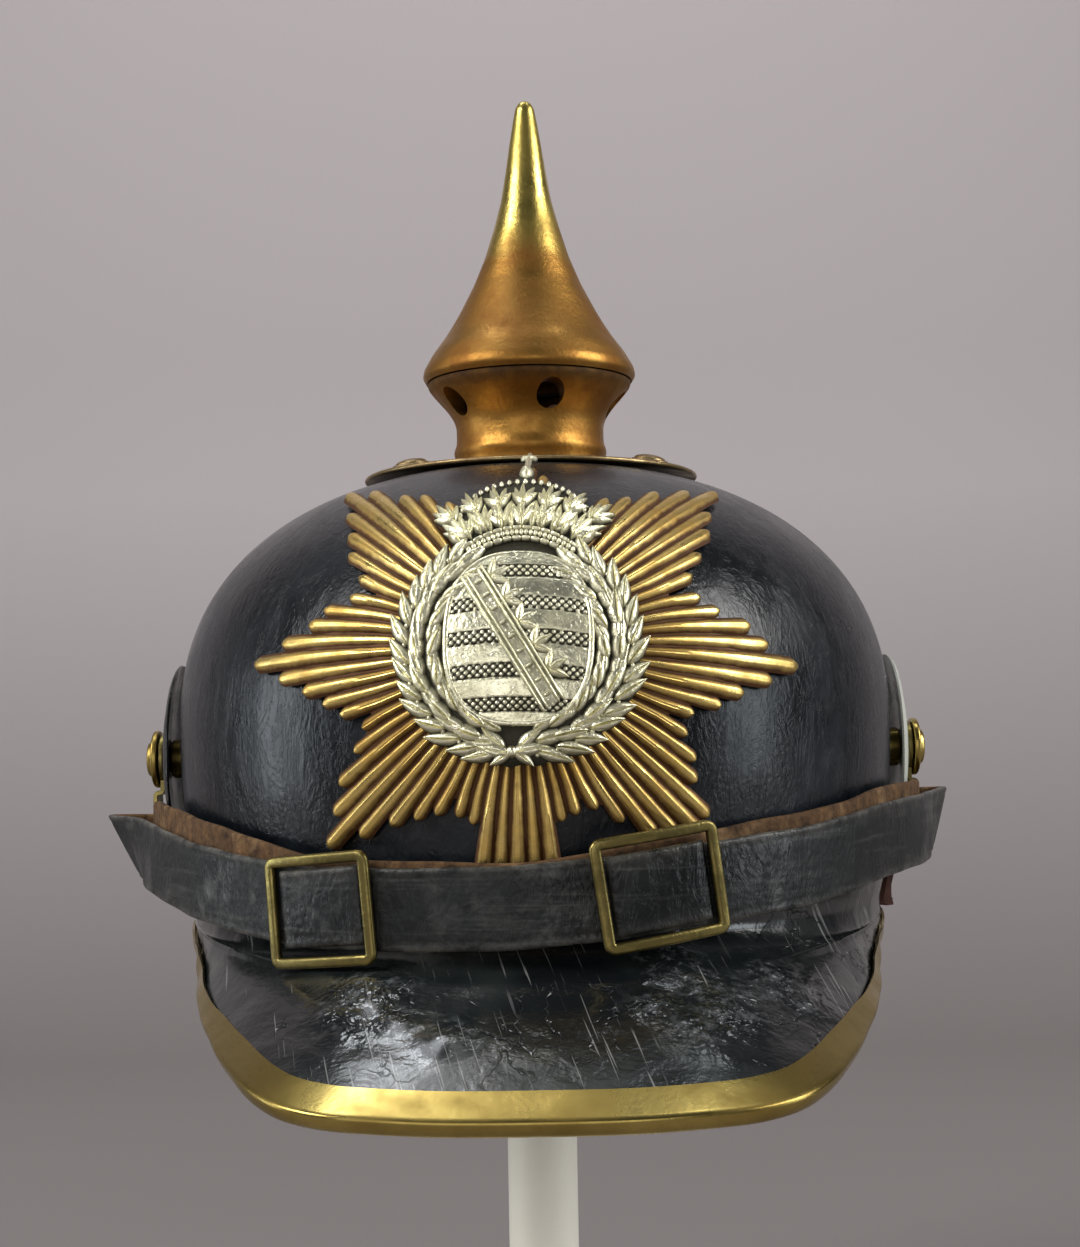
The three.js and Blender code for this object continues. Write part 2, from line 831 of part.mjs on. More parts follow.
function chinStrap() {
  const turns = spread(-88, 88, strapSteps);
  const inner = turns.map(innerStation).reverse();
  const loop = [...turns.map(outerStation), ...strapFold(1), ...inner, ...strapFold(-1).reverse()];
  const sections = loop.map((station, i) => {
    const before = loop[(i + loop.length - 1) % loop.length].plan;
    const after = loop[(i + 1) % loop.length].plan;
    const along = after.clone().sub(before).normalize();
    const out = new THREE.Vector3(along.y, -along.x, 0);
    const lean = leanAt(station.plan);
    const corner = (away, down) =>
      station.plan
        .clone()
        .addScaledVector(out, away)
        .setZ(rimZ + station.top - down)
        .add(new THREE.Vector3(lean * (1 - (2 * down) / strapWidth), 0, 0));
    const half = strapWall / 2;
    return [corner(half, 0), corner(half, strapWidth), corner(-half, strapWidth), corner(-half, 0)];
  });
  return sweepSections(sections, null);
}

/** Rectangular frame bent along the strap's outer run. */
function buckleFrame(turn, middleUp, tilt) {
  const near = outerRunOffset + strapWall / 2 + clearance;
  const [across, along] = crownAxes(rimZ);
  const radius = Math.hypot(along * Math.sin(turn * degrees), across * Math.cos(turn * degrees)) + near;
  const place = (x, y, out) => {
    const spun = new THREE.Vector2(x, y).rotateAround(new THREE.Vector2(), tilt * degrees);
    return besideRim(turn + spun.x / radius / degrees, near + out, middleUp + spun.y);
  };
  const sides = 5;
  const corners = [[-1, -1], [1, -1], [1, 1], [-1, 1]];
  const sections = corners.flatMap(([x0, y0], i) => {
    const [x1, y1] = corners[(i + 1) % corners.length];
    return spread(0, 1, sides).slice(0, -1).map((share) => {
      const [x, y] = [lerp(x0, x1, share), lerp(y0, y1, share)];
      const outside = [x * buckleWidth / 2, y * buckleHeight / 2];
      const inside = [x * (buckleWidth / 2 - buckleBar), y * (buckleHeight / 2 - buckleBar)];
      const outer = [place(...outside, 0), place(...outside, buckleWall)];
      return [...outer, place(...inside, buckleWall), place(...inside, 0)];
    });
  });
  return sweepSections(sections, null);
}

// The stand

const padTopZ = crownTopZ - crownWall - clearance;

/** Height of the crown's inside above a point off the axis, at its lowest round the ring. */
function innerDomeAt(radius) {
  const share = radius / (halfWidth - crownWall);
  return widestZ + (domeRise - crownWall) * (1 - share ** roundness) ** (1 / roundness);
}

function standPad() {
  const bottom = padTopZ - padDepth;
  const radii = spread(0, padRadius - padEdge, 2);
  const dome = radii.map((radius) => [radius, innerDomeAt(radius) - 2 * clearance]);
  return turned([
    [0, bottom],
    [padRadius, bottom],
    [padRadius, bottom + padEdge],
    ...dome.reverse(),
  ]);
}

function standPost() {
  const bottom = baseThickness + clearance;
  const top = padTopZ - padDepth - clearance;
  return turned([
    [0, bottom],
    [postRadius, bottom],
    [postRadius, top],
    [0, top],
  ]);
}

function standBase() {
  return turned([
    [0, 0],
    [baseRadius, 0],
    [baseRadius, baseThickness * 0.7],
    [baseRadius - baseThickness * 0.3, baseThickness],
    [0, baseThickness],
  ]);
}

// Materials

function material(color, roughness, metalness) {
  return new THREE.MeshStandardMaterial({ color, roughness, metalness });
}

const blackLeather = material(0x14161a, 0.4, 0);
const visorLeather = material(0x0e1013, 0.25, 0);
const strapLeather = material(0x2c2e30, 0.7, 0);
const warmBrass = material(0x9a7433, 0.3, 1);
const redBrass = material(0x7d5228, 0.35, 1);
const goldBrass = material(0xc09038, 0.3, 1);
const oliveBrass = material(0x6a5f2a, 0.4, 1);
const nickelSilver = material(0xb9bda6, 0.35, 1);
const darkLacquer = material(0x0b0b0c, 0.3, 0);
const whiteLacquer = material(0xd8dacb, 0.35, 0);
const whitePaint = material(0xd4d4cc, 0.6, 0);

// Assembly

const helmet = new THREE.Group();

function put(name, geometry, finish) {
  const mesh = new THREE.Mesh(geometry, finish);
  mesh.name = name;
  helmet.add(mesh);
  return mesh;
}

put("crown_shell", crownShell(), blackLeather);
put("front_visor", frontVisor(), visorLeather);
put("visor_trim", visorTrim(), warmBrass);
put("rear_visor", rearVisor(), visorLeather);
put("rear_spine", rearSpine(), warmBrass);
put("base_plate", basePlate(), warmBrass);

for (const [i, side] of [1, -1].entries()) {
  for (const [j, end] of [-1, 1].entries()) {
    const radius = plateRadius - studInset;
    const stud = put(`base_stud_${1 + i * 2 + j}`, baseStud(), warmBrass);
    stud.position.set(
      side * radius * Math.sin(studTurn * degrees),
      end * radius * Math.cos(studTurn * degrees),
      plateTopAt(radius - studRadius) + clearance,
    );
  }
}

put("spike_neck", spikeNeck(), redBrass);
put("spike_cone", spikeCone(), redBrass);
put("star_plate", starPlate(), goldBrass);
put("arms_overlay", armsOverlay(), nickelSilver);

for (const [name, side, lacquer] of [["left", -1, darkLacquer], ["right", 1, whiteLacquer]]) {
  const postZ = rimZ + sideValue(postAboveRim, side);
  const disc = put(side < 0 ? "cockade_dark" : "cockade_white", cockade(), lacquer);
  disc.rotation.y = (side * Math.PI) / 2;
  disc.position.set(side * cockadeRimX, 0, postZ);
  const post = put(`side_post_${name}`, sidePost(), warmBrass);
  post.rotation.y = (side * Math.PI) / 2;
  post.position.set(0, 0, postZ);
  const lug = put(`strap_lug_${name}`, strapLug(), oliveBrass);
  if (side < 0) lug.rotation.z = Math.PI;
  lug.position.set(0, 0, postZ);
}

put("chin_strap", chinStrap(), strapLeather);
put("buckle_left", buckleFrame(...leftBuckle), oliveBrass);
put("buckle_right", buckleFrame(...rightBuckle), oliveBrass);
put("stand_base", standBase(), whitePaint);
put("stand_post", standPost(), whitePaint);
put("stand_pad", standPad(), whitePaint);

export default helmet;
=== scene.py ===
"""Looks for a spiked leather helmet with brass fittings, set on a plain stand.

Every piece is worked out with numpy in millimetres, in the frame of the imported
model, and put into its mesh in metres. +Z is up and the front faces -Y. A turn
is in degrees round the upright axis: 0 is the front, 90 the side at +X.
"""
import logging
import math
from dataclasses import dataclass, field
from enum import Enum

import bpy
import numpy as np
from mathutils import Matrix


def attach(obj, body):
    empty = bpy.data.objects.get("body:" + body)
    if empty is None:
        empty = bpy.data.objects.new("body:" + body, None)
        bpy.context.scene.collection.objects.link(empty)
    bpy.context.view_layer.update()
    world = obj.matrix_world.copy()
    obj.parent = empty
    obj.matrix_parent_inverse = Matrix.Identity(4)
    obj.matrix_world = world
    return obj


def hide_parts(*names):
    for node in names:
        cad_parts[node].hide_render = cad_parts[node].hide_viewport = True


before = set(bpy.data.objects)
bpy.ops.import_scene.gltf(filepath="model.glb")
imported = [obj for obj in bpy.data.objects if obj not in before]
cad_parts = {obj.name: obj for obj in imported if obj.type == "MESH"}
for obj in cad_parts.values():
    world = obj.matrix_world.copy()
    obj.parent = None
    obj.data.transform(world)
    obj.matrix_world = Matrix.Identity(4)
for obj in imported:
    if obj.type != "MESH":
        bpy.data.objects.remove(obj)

Array = np.ndarray
Socket = bpy.types.NodeSocket

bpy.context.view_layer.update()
MM = 0.001
# The axis itself is left open by these radii, in millimetres, so that no face collapses
NEAR_AXIS = 0.03
LEAST_RADIUS = 0.02
RIB_WIDTH = 0.16
LOG = logging.getLogger("helmet")


# Curves and tables

def read_rows(rows: tuple, at: Array, column: int, blur: float = 0.0) -> Array:
    """Value of a table at given places, averaged over a small span so that its corners are round.

    Args:
        rows: Rows whose first column rises.
        at: Places to read.
        column: Column to read.
        blur: Half the span, in units of the first column.

    Returns:
        An array like at: the straight-line value, weighted by a raised cosine over at +- blur.
    """
    table = np.array(rows, float)
    at = np.asarray(at, float)
    if blur <= 0:
        return np.interp(at, table[:, 0], table[:, column])
    steps = np.linspace(-1, 1, 13)
    weights = 1 + np.cos(math.pi * steps)
    values = [np.interp(at + s * blur, table[:, 0], table[:, column]) for s in steps]
    return np.tensordot(weights / weights.sum(), np.array(values), 1)


def smooth_step(value: Array, low: float, high: float) -> Array:
    """0 below low, 1 above high, and 3t^2 - 2t^3 between them."""
    t = np.clip((np.asarray(value, float) - low) / (high - low), 0, 1)
    return t * t * (3 - 2 * t)


def round_path(points: Array, count: int, closed: bool, blur: int = 0) -> Array:
    """Points spread evenly along a path, then averaged with their neighbours.

    Args:
        points: Rows of coordinates along the path.
        count: How many points to return.
        closed: Whether the path returns to its start.
        blur: Neighbours to each side that are averaged, weighted by a raised cosine.

    Returns:
        An array of count rows.
    """
    path = np.vstack([points, points[:1]]) if closed else np.asarray(points, float)
    steps = np.linalg.norm(np.diff(path, axis=0), axis=1)
    length = np.concatenate([[0], np.cumsum(steps)])
    at = np.linspace(0, length[-1], count + closed)[: count]
    even = np.stack([np.interp(at, length, path[:, i]) for i in range(path.shape[1])], 1)
    if blur <= 0:
        return even
    shifts = np.arange(-blur, blur + 1)
    weights = 1 + np.cos(math.pi * shifts / (blur + 1))
    index = np.arange(count)[:, None] + shifts[None]
    index = index % count if closed else np.clip(index, 0, count - 1)
    return np.einsum("k,nkd->nd", weights / weights.sum(), even[index])


def unit(vectors: Array) -> Array:
    """The vectors with length one."""
    return vectors / np.maximum(np.linalg.norm(vectors, axis=-1, keepdims=True), 1e-12)


def hump(value: Array, middle: float, width: float) -> Array:
    """A bell, 1 at its middle: exp(-((value - middle) / width)^2)."""
    return np.exp(-((value - middle) / width) ** 2)


def round_end(share: Array, least: float = 0.0) -> Array:
    """A quarter circle over a share from 0 to 1: sqrt(1 - (1 - share)^2), its square at least so much."""
    return np.sqrt(np.maximum(1 - (1 - share) ** 2, least))


def to_right(ways: Array) -> Array:
    """Plane vectors after a quarter turn clockwise."""
    return np.stack([ways[..., 1], -ways[..., 0]], -1)


def loop_ways(path: Array) -> Array:
    """Unit directions along a closed path, each from the points before and after."""
    return unit(np.roll(path, -1, 0) - np.roll(path, 1, 0))


def round_box(width: float, height: float, radius: float, arc: int = 4, flat: int = 1) -> Array:
    """Outline of a rectangle with round corners, centred, as rows of x and y.

    Args:
        width: Size along x.
        height: Size along y.
        radius: Radius of the corners.
        arc: Steps round each corner.
        flat: Steps along each side.

    Returns:
        The corners' arcs joined by evenly divided sides, counter-clockwise from the +x side.
    """
    rows = []
    for quarter in range(4):
        sign = np.array([(1, 1), (-1, 1), (-1, -1), (1, -1)][quarter])
        centre = sign * (np.array([width, height]) / 2 - radius)
        angles = quarter * math.pi / 2 + np.linspace(0, math.pi / 2, arc + 1)
        rows.append(centre + radius * np.stack([np.cos(angles), np.sin(angles)], 1))
    out = []
    for quarter in range(4):
        here, after = rows[quarter], rows[(quarter + 1) % 4]
        shares = np.linspace(0, 1, flat + 1)[1:-1, None]
        out += [here, here[-1] + (after[0] - here[-1]) * shares]
    return np.vstack(out)


# Meshes

@dataclass
class Loft:
    """Closed bodies of the same form, each a row of rings of points.

    Args:
        rings: Points in millimetres, shaped (bodies, stations, ring, 3).
        looped: Whether the last station joins the first; otherwise flat ends close the body.
        marks: Per-point numbers that a material reads, shaped (bodies, stations, ring).
    """

    rings: Array
    looped: bool = False
    marks: dict[str, Array] = field(default_factory=dict)

    def __post_init__(self) -> None:
        """Adds the axis of bodies where a single body was given."""
        if self.rings.ndim == 3:
            self.rings = self.rings[None]
            self.marks = {k: np.asarray(v)[None] for k, v in self.marks.items()}

    def faces(self, first: int) -> list[list[int]]:
        """Faces of all bodies, turned outwards.

        Args:
            first: Number of the first vertex.

        Returns:
            Four-sided faces between neighbouring rings, and the two end faces of open rows.
        """
        bodies, stations, ring, _ = self.rings.shape
        index = first + np.arange(bodies * stations * ring).reshape(bodies, stations, ring)
        here = index if self.looped else index[:, :-1]
        after = np.roll(index, -1, axis=1) if self.looped else index[:, 1:]
        quads = np.stack([here, np.roll(here, -1, 2), np.roll(after, -1, 2), after], -1)
        found = quads.reshape(-1, 4)
        p = self.rings[0].reshape(-1, 3)
        own = found[: len(found) // bodies] - first
        a, b, c, d = (p[own[:, i]] - p.mean(0) for i in range(4))
        volume = np.einsum("ij,ij->", a, np.cross(b, c)) + np.einsum("ij,ij->", a, np.cross(c, d))
        ends = [] if self.looped else [index[:, 0, ::-1], index[:, -1]]
        if volume < 0:
            found = found[:, ::-1]
            ends = [end[:, ::-1] for end in ends]
        return found.tolist() + [row for end in ends for row in end.tolist()]


def mesh_object(name: str, lofts: list[Loft], crease: float = 35.0) -> bpy.types.Object:
    """One object from several lofts, in metres, smooth but for its sharp edges.

    Args:
        name: The piece's name.
        lofts: Its bodies.
        crease: Degrees between faces past which an edge stays sharp.

    Returns:
        The new object, linked to the scene, with one float attribute for each mark.
    """
    points = np.vstack([loft.rings.reshape(-1, 3) for loft in lofts]) * MM
    faces, first = [], 0
    for loft in lofts:
        faces += loft.faces(first)
        first += loft.rings.size // 3
    mesh = bpy.data.meshes.new(name)
    mesh.from_pydata(points.tolist(), [], faces)
    for mark in sorted({key for loft in lofts for key in loft.marks}):
        blank = [np.zeros(loft.rings.shape[:3]) for loft in lofts]
        parts = [loft.marks.get(mark, none) for loft, none in zip(lofts, blank)]
        values = [np.broadcast_to(part, none.shape).ravel() for part, none in zip(parts, blank)]
        store = mesh.attributes.new(mark, "FLOAT", "POINT").data
        store.foreach_set("value", np.concatenate(values).astype(np.float32))
    mesh.shade_smooth()
    mesh.set_sharp_from_angle(angle=math.radians(crease))
    made = bpy.data.objects.new(name, mesh)
    bpy.context.scene.collection.objects.link(made)
    return made


def turned(profile: Array, sides: int, looped: bool = False, **marks: Array) -> Loft:
    """A profile of radius and height carried round the upright axis.

    Args:
        profile: Rows of radius and height.
        sides: Points round the axis.
        looped: Whether the profile closes on itself.
        **marks: Numbers that a material reads, one for each row of the profile.

    Returns:
        Rings at (r cos a, r sin a, h).
    """
    angles = np.linspace(0, 2 * math.pi, sides, endpoint=False)
    radius, height = np.asarray(profile, float).T[..., None]
    radius = np.maximum(radius, LEAST_RADIUS)
    rings = np.stack([radius * np.cos(angles), radius * np.sin(angles), height * np.ones(sides)], -1)
    return Loft(rings, looped, {name: values[:, None] * np.ones(sides) for name, values in marks.items()})


def on_side(loft: Loft, side: int, height: float) -> Loft:
    """A turned loft laid along X: its axis points to the side, at a height over the floor."""
    x, y, z = np.moveaxis(loft.rings, -1, 0)
    return Loft(np.stack([side * z, y, height + x], -1), loft.looped, loft.marks)


def rounded(profile: Array, radius: float, closed: bool = False, steps: int = 4) -> Array:
    """A profile whose corners are cut by small arcs.

    Args:
        profile: Rows of two coordinates.
        radius: How far along each side the arc starts, at most 0.45 of the side.
        closed: Whether the profile returns to its start.
        steps: Steps along each arc.

    Returns:
        Rows along quadratic arcs (1-t)^2 a + 2t(1-t) corner + t^2 b.
    """
    rows = np.asarray(profile, float)
    count = len(rows)
    out = [] if closed else [rows[:1]]
    for i in range(count) if closed else range(1, count - 1):
        corner, before, after = rows[i], rows[i - 1], rows[(i + 1) % count]
        back, on = before - corner, after - corner
        a = corner + back * min(0.45, radius / max(np.linalg.norm(back), 1e-9))
        b = corner + on * min(0.45, radius / max(np.linalg.norm(on), 1e-9))
        t = np.linspace(0, 1, steps + 1)[:, None]
        out.append((1 - t) ** 2 * a + 2 * t * (1 - t) * corner + t ** 2 * b)
    if not closed:
        out.append(rows[-1:])
    return np.vstack(out)


# Node trees

class Graph:
    """Short calls for adding nodes to a tree and joining them."""

    def __init__(self, tree: bpy.types.NodeTree) -> None:
        """Keeps the tree that nodes are added to."""
        self.tree = tree

    def feed(self, socket: Socket, value: object) -> None:
        """Joins a socket to another, or sets its value."""
        if isinstance(value, Socket):
            self.tree.links.new(value, socket)
        elif isinstance(value, tuple) and len(value) == 3 and socket.type == "RGBA":
            socket.default_value = (*value, 1)
        else:
            socket.default_value = value

    def node(self, kind: str, inputs: dict | None = None, **settings: object) -> bpy.types.Node:
        """A new node.

        Args:
            kind: Its type, without the leading ShaderNode.
            inputs: Values or sockets for its inputs, by name or number.
            **settings: Its own properties.

        Returns:
            The node.
        """
        made = self.tree.nodes.new("ShaderNode" + kind)
        for key, value in settings.items():
            setattr(made, key, value)
        for key, value in (inputs or {}).items():
            self.feed(made.inputs[key], value)
        return made

    def math(self, operation: str, *values: object) -> Socket:
        """Output of a Math node."""
        return self.node("Math", dict(enumerate(values)), operation=operation).outputs[0]

    def times(self, a: object, b: object) -> Socket:
        """The product a b."""
        return self.math("MULTIPLY", a, b)

    def plus(self, a: object, b: object) -> Socket:
        """The sum a + b."""
        return self.math("ADD", a, b)

    def minus(self, a: object, b: object) -> Socket:
        """The difference a - b."""
        return self.math("SUBTRACT", a, b)

    def larger(self, a: object, b: object) -> Socket:
        """The larger of two values."""
        return self.math("MAXIMUM", a, b)

    def span(
        self, value: object, low: object, high: object, to_low: float = 0.0, to_high: float = 1.0,
    ) -> Socket:
        """The value carried from low..high to to_low..to_high, clamped."""
        rows = {"Value": value, "From Min": low, "From Max": high, "To Min": to_low, "To Max": to_high}
        return self.node("MapRange", rows).outputs[0]

    def blend(self, share: object, a: object, b: object) -> Socket:
        """Colour a turned into b by a share."""
        return self.node("Mix", {0: share, 6: a, 7: b}, data_type="RGBA").outputs[2]

    def drift(self, share: float, a: object, b: object) -> Socket:
        """Place a moved towards b by a share."""
        return self.node("Mix", {0: share, 4: a, 5: b}, data_type="VECTOR").outputs[1]

    def place(self, scale: tuple = (1.0, 1.0, 1.0)) -> Socket:
        """Object coordinates, scaled."""
        coordinates = self.node("TexCoord").outputs["Object"]
        return self.node("Mapping", {"Vector": coordinates, "Scale": scale}).outputs[0]

    def cells(self, where: object, scale: object, feature: str = "F1") -> Socket:
        """Distance that a Voronoi texture gives; scale counts cells a metre."""
        return self.node("TexVoronoi", {"Vector": where, "Scale": scale}, feature=feature).outputs[0]

    def noise(
        self, scale: float, detail: float = 3.0, roughness: float = 0.55,
        stretch: tuple = (1.0, 1.0, 1.0), warp: float = 0.0,
    ) -> Socket:
        """Value of a noise texture; scale counts waves a metre."""
        rows = {"Vector": self.place(stretch), "Scale": scale, "Detail": detail,
                "Roughness": roughness, "Distortion": warp}
        return self.node("TexNoise", rows).outputs[0]

    def mark(self, name: str) -> Socket:
        """A number that the mesh holds at each point."""
        return self.node("Attribute", attribute_name=name).outputs["Fac"]

    def group(self, group: bpy.types.NodeTree, **inputs: object) -> bpy.types.Node:
        """A shared effect placed in this tree; underscores in input names stand for spaces."""
        made = self.node("Group")
        made.node_tree = group
        for key, value in inputs.items():
            self.feed(made.inputs[key.replace("_", " ")], value)
        return made


class Effect(Enum):
    """The shared effects, each a node group that is built once."""

    HIDE = "Leather Hide"
    CRAZE = "Lacquer Crazing"
    TARNISH = "Metal Tarnish"
    SCUFF = "Scuffs"
    # Painted shade, together with grime, in the grooves of a relief.
    RECESS = "Dirt In Recesses"


SOCKETS = {float: "NodeSocketFloat", tuple: "NodeSocketColor"}


def new_group(
    effect: Effect, inputs: dict[str, object], outputs: dict[str, type],
) -> tuple[Graph, object, object]:
    """An empty node group with named sockets.

    Args:
        effect: The effect that it holds.
        inputs: First value of each input, by name.
        outputs: Kind of each output, by name.

    Returns:
        The graph inside it, its input node's outputs and its output node's inputs.
    """
    tree = bpy.data.node_groups.new(effect.value, "ShaderNodeTree")
    for name, value in inputs.items():
        made = tree.interface.new_socket(name=name, in_out="INPUT", socket_type=SOCKETS[type(value)])
        made.default_value = (*value, 1) if isinstance(value, tuple) else value
    for name, kind in outputs.items():
        tree.interface.new_socket(name=name, in_out="OUTPUT", socket_type=SOCKETS[kind])
    graph = Graph(tree)
    given, sent = (tree.nodes.new("NodeGroup" + end) for end in ("Input", "Output"))
    return graph, given.outputs, sent.inputs


class EffectShelf:
    """Builds each shared effect at its first use and hands it out after that."""

    def __init__(self) -> None:
        """Starts with no group built."""
        self.built: dict[Effect, bpy.types.NodeTree] = {}

    def take(self, effect: Effect) -> bpy.types.NodeTree:
        """The effect's node group.

        Args:
            effect: Which effect.

        Returns:
            The group, built once.
        """
        if effect not in self.built:
            self.built[effect] = getattr(self, "make_" + effect.name.lower())()
        return self.built[effect]

    def make_hide(self) -> bpy.types.NodeTree:
        """Leather: fine pores, soft lumps and long wrinkles as one height, and a mask of shiny patches."""
        g, i, o = new_group(
            Effect.HIDE,
            {"Pores": 900.0, "Wrinkles": 0.5, "Lumps": 0.4},
            {"Height": float, "Patches": float},
        )
        pores = g.cells(g.place(), i["Pores"], "SMOOTH_F1")
        wrinkles = g.noise(190.0, 4.0, 0.64, (1.0, 1.0, 0.42), 1.6)
        creases = g.math("POWER", g.math("ABSOLUTE", g.minus(wrinkles, 0.5)), 0.6)
        lumps = g.noise(60.0, 2.0)
        height = g.times(pores, 0.3)
        height = g.plus(height, g.times(creases, i["Wrinkles"]))
        height = g.plus(height, g.times(lumps, i["Lumps"]))
        g.feed(o["Height"], height)
        g.feed(o["Patches"], g.span(g.noise(45.0, 4.0, 0.65), 0.35, 0.65))
        return g.tree

    def make_craze(self) -> bpy.types.NodeTree:
        """Old lacquer: a net of long cracks, a height with small facets, and thin sloping scratches."""
        g, i, o = new_group(
            Effect.CRAZE,
            {"Scale": 75.0, "Width": 0.018, "Amount": 0.8, "Crumple": 0.0},
            {"Cracks": float, "Height": float, "Scratches": float},
        )
        wander = g.node("TexNoise", {"Vector": g.place(), "Scale": 70.0, "Detail": 3.0}).outputs["Color"]
        bent = g.drift(0.02, g.place((1.0, 0.5, 0.3)), wander)
        edge = g.cells(bent, i["Scale"], "DISTANCE_TO_EDGE")
        line = g.larger(g.minus(1.0, g.math("DIVIDE", edge, i["Width"])), 0.0)
        line = g.times(line, g.span(g.noise(24.0, 3.0), 0.52, 0.40))
        pushed = g.drift(0.05, g.place((1.0, 0.75, 0.6)), wander)
        facets, chips = g.cells(pushed, 95.0), g.cells(pushed, 260.0)
        where = g.span(i["Crumple"], 0.05, 0.8, 0.10, 1.0)
        grain = g.times(g.noise(1000.0, 2.0), 0.05)
        swell = g.times(g.noise(48.0, 2.0), 0.9)
        broken = g.plus(g.times(facets, 0.75), g.times(chips, 0.26))
        height = g.plus(g.plus(g.times(broken, where), grain), swell)
        g.feed(o["Height"], g.minus(height, g.times(line, 0.3)))
        g.feed(o["Cracks"], g.times(line, i["Amount"]))
        slant = g.node("Mapping", {"Vector": g.place(), "Rotation": (0.0, 0.42, 0.0)}).outputs[0]
        drawn = g.node("Mapping", {"Vector": slant, "Scale": (1.0, 0.024, 0.024)}).outputs[0]
        thin = g.node("TexNoise", {"Vector": drawn, "Scale": 1900.0, "Detail": 1.0}).outputs[0]
        fade = g.span(g.noise(60.0, 2.0, 0.5, (1.0, 0.4, 0.4)), 0.44, 0.56)
        g.feed(o["Scratches"], g.times(g.span(thin, 0.68, 0.715), fade))
        return g.tree

    def make_tarnish(self) -> bpy.types.NodeTree:
        """Aged metal: clean colour clouded by tarnish, small dark spots, and the roughness of both."""
        g, i, o = new_group(
            Effect.TARNISH,
            {
                "Clean": (0.6, 0.4, 0.15), "Tarnish": (0.2, 0.1, 0.04),
                "Amount": 0.5, "Scale": 60.0, "Shine": 0.25,
            },
            {"Color": tuple, "Roughness": float, "Height": float},
        )
        clouds = g.noise(i["Scale"], 5.0, 0.62)
        low = g.minus(0.61, g.times(i["Amount"], 0.5))
        share = g.span(clouds, low, g.plus(low, 0.28))
        spots = g.span(g.noise(520.0, 3.0, 0.7), 0.6, 0.72)
        share = g.larger(share, g.times(spots, 0.55))
        g.feed(o["Color"], g.blend(share, i["Clean"], i["Tarnish"]))
        g.feed(o["Roughness"], g.plus(i["Shine"], g.times(share, 0.2)))
        g.feed(o["Height"], g.plus(g.noise(900.0, 2.0), g.times(spots, -0.4)))
        return g.tree

    def make_scuff(self) -> bpy.types.NodeTree:
        """Pale scuffs and hairline rubs on dark leather."""
        g, i, o = new_group(Effect.SCUFF, {"Amount": 0.5}, {"Scuffs": float, "Hairlines": float})
        rough = g.noise(130.0, 5.0, 0.7)
        patch = g.span(g.noise(34.0, 2.0), 0.45, 0.7)
        g.feed(o["Scuffs"], g.times(g.times(g.span(rough, 0.5, 0.72), patch), i["Amount"]))
        lines = g.noise(600.0, 3.0, 0.6, (0.05, 0.05, 1.0), 0.1)
        g.feed(o["Hairlines"], g.times(g.span(lines, 0.56, 0.74), i["Amount"]))
        return g.tree

    def make_recess(self) -> bpy.types.NodeTree:
        """Grime and painted shade low in a relief: the mark is 0 on the high points and 1 in the grooves,
        where the dark colour stands for shade as well as grime.
        """
        g, i, o = new_group(
            Effect.RECESS,
            {"Depth": 0.0, "Clean": (0.6, 0.4, 0.15), "Dirt": (0.05, 0.02, 0.01), "Start": 0.3, "End": 0.9},
            {"Color": tuple, "Mask": float},
        )
        rough = g.times(g.minus(g.noise(350.0, 4.0, 0.6), 0.5), 0.5)
        depth = g.plus(i["Depth"], rough)
        mask = g.span(depth, i["Start"], i["End"])
        g.feed(o["Mask"], mask)
        # Painted shade: the mask blends in the dark colour where shade would fall in the recesses, together
        # with real grime.
        g.feed(o["Color"], g.blend(mask, i["Clean"], i["Dirt"]))
        return g.tree


SHELF = EffectShelf()


# Finishes

@dataclass(frozen=True)
class Finish:
    """A material: its name and the slot that it belongs to."""

    name: str
    slot: str

    def build(self) -> bpy.types.Material:
        """The material, made once and found by its name after that."""
        if self.name in bpy.data.materials:
            return bpy.data.materials[self.name]
        made = bpy.data.materials.new(self.name)
        made.use_nodes = True
        graph = Graph(made.node_tree)
        shader = made.node_tree.nodes["Principled BSDF"]
        for name, value in self.inputs(graph).items():
            graph.feed(shader.inputs[name], value)
        return made

    def inputs(self, g: Graph) -> dict[str, object]:
        """Values and sockets for the shader, by input name."""
        raise NotImplementedError

    def bump(self, g: Graph, height: object, depth_mm: float) -> Socket:
        """A normal from a height whose full swing is so many millimetres deep."""
        rows = {"Height": height, "Distance": depth_mm * MM, "Strength": 1.0}
        return g.node("Bump", rows).outputs[0]


@dataclass(frozen=True)
class HideFinish(Finish):
    """Black polished leather with pores, wrinkles and duller patches."""

    colour: tuple = (0.0028, 0.0038, 0.0054)
    worn: tuple = (0.0085, 0.0110, 0.0145)
    lining: tuple = (0.075, 0.042, 0.024)
    scuffed: tuple = (0.10, 0.105, 0.11)
    shine: float = 0.21
    wrinkles: float = 0.8

    def inputs(self, g: Graph) -> dict[str, object]:
        """Dark hide, rougher where it is worn."""
        hide = g.group(SHELF.take(Effect.HIDE), Wrinkles=self.wrinkles)
        scuff = g.group(SHELF.take(Effect.SCUFF), Amount=0.35)
        patches = hide.outputs["Patches"]
        colour = g.blend(patches, self.colour, self.worn)
        colour = g.blend(g.times(scuff.outputs["Scuffs"], 0.6), colour, self.scuffed)
        raw = g.mark("raw")
        rough = g.span(patches, 0.0, 1.0, self.shine, self.shine + 0.14)
        return {
            "Base Color": g.blend(raw, colour, self.lining),
            "Roughness": g.larger(rough, g.times(raw, 0.75)),
            "Normal": self.bump(g, hide.outputs["Height"], 0.22),
            "Specular IOR Level": 0.3,
            "Coat Weight": 0.12,
            "Coat Roughness": 0.13,
        }


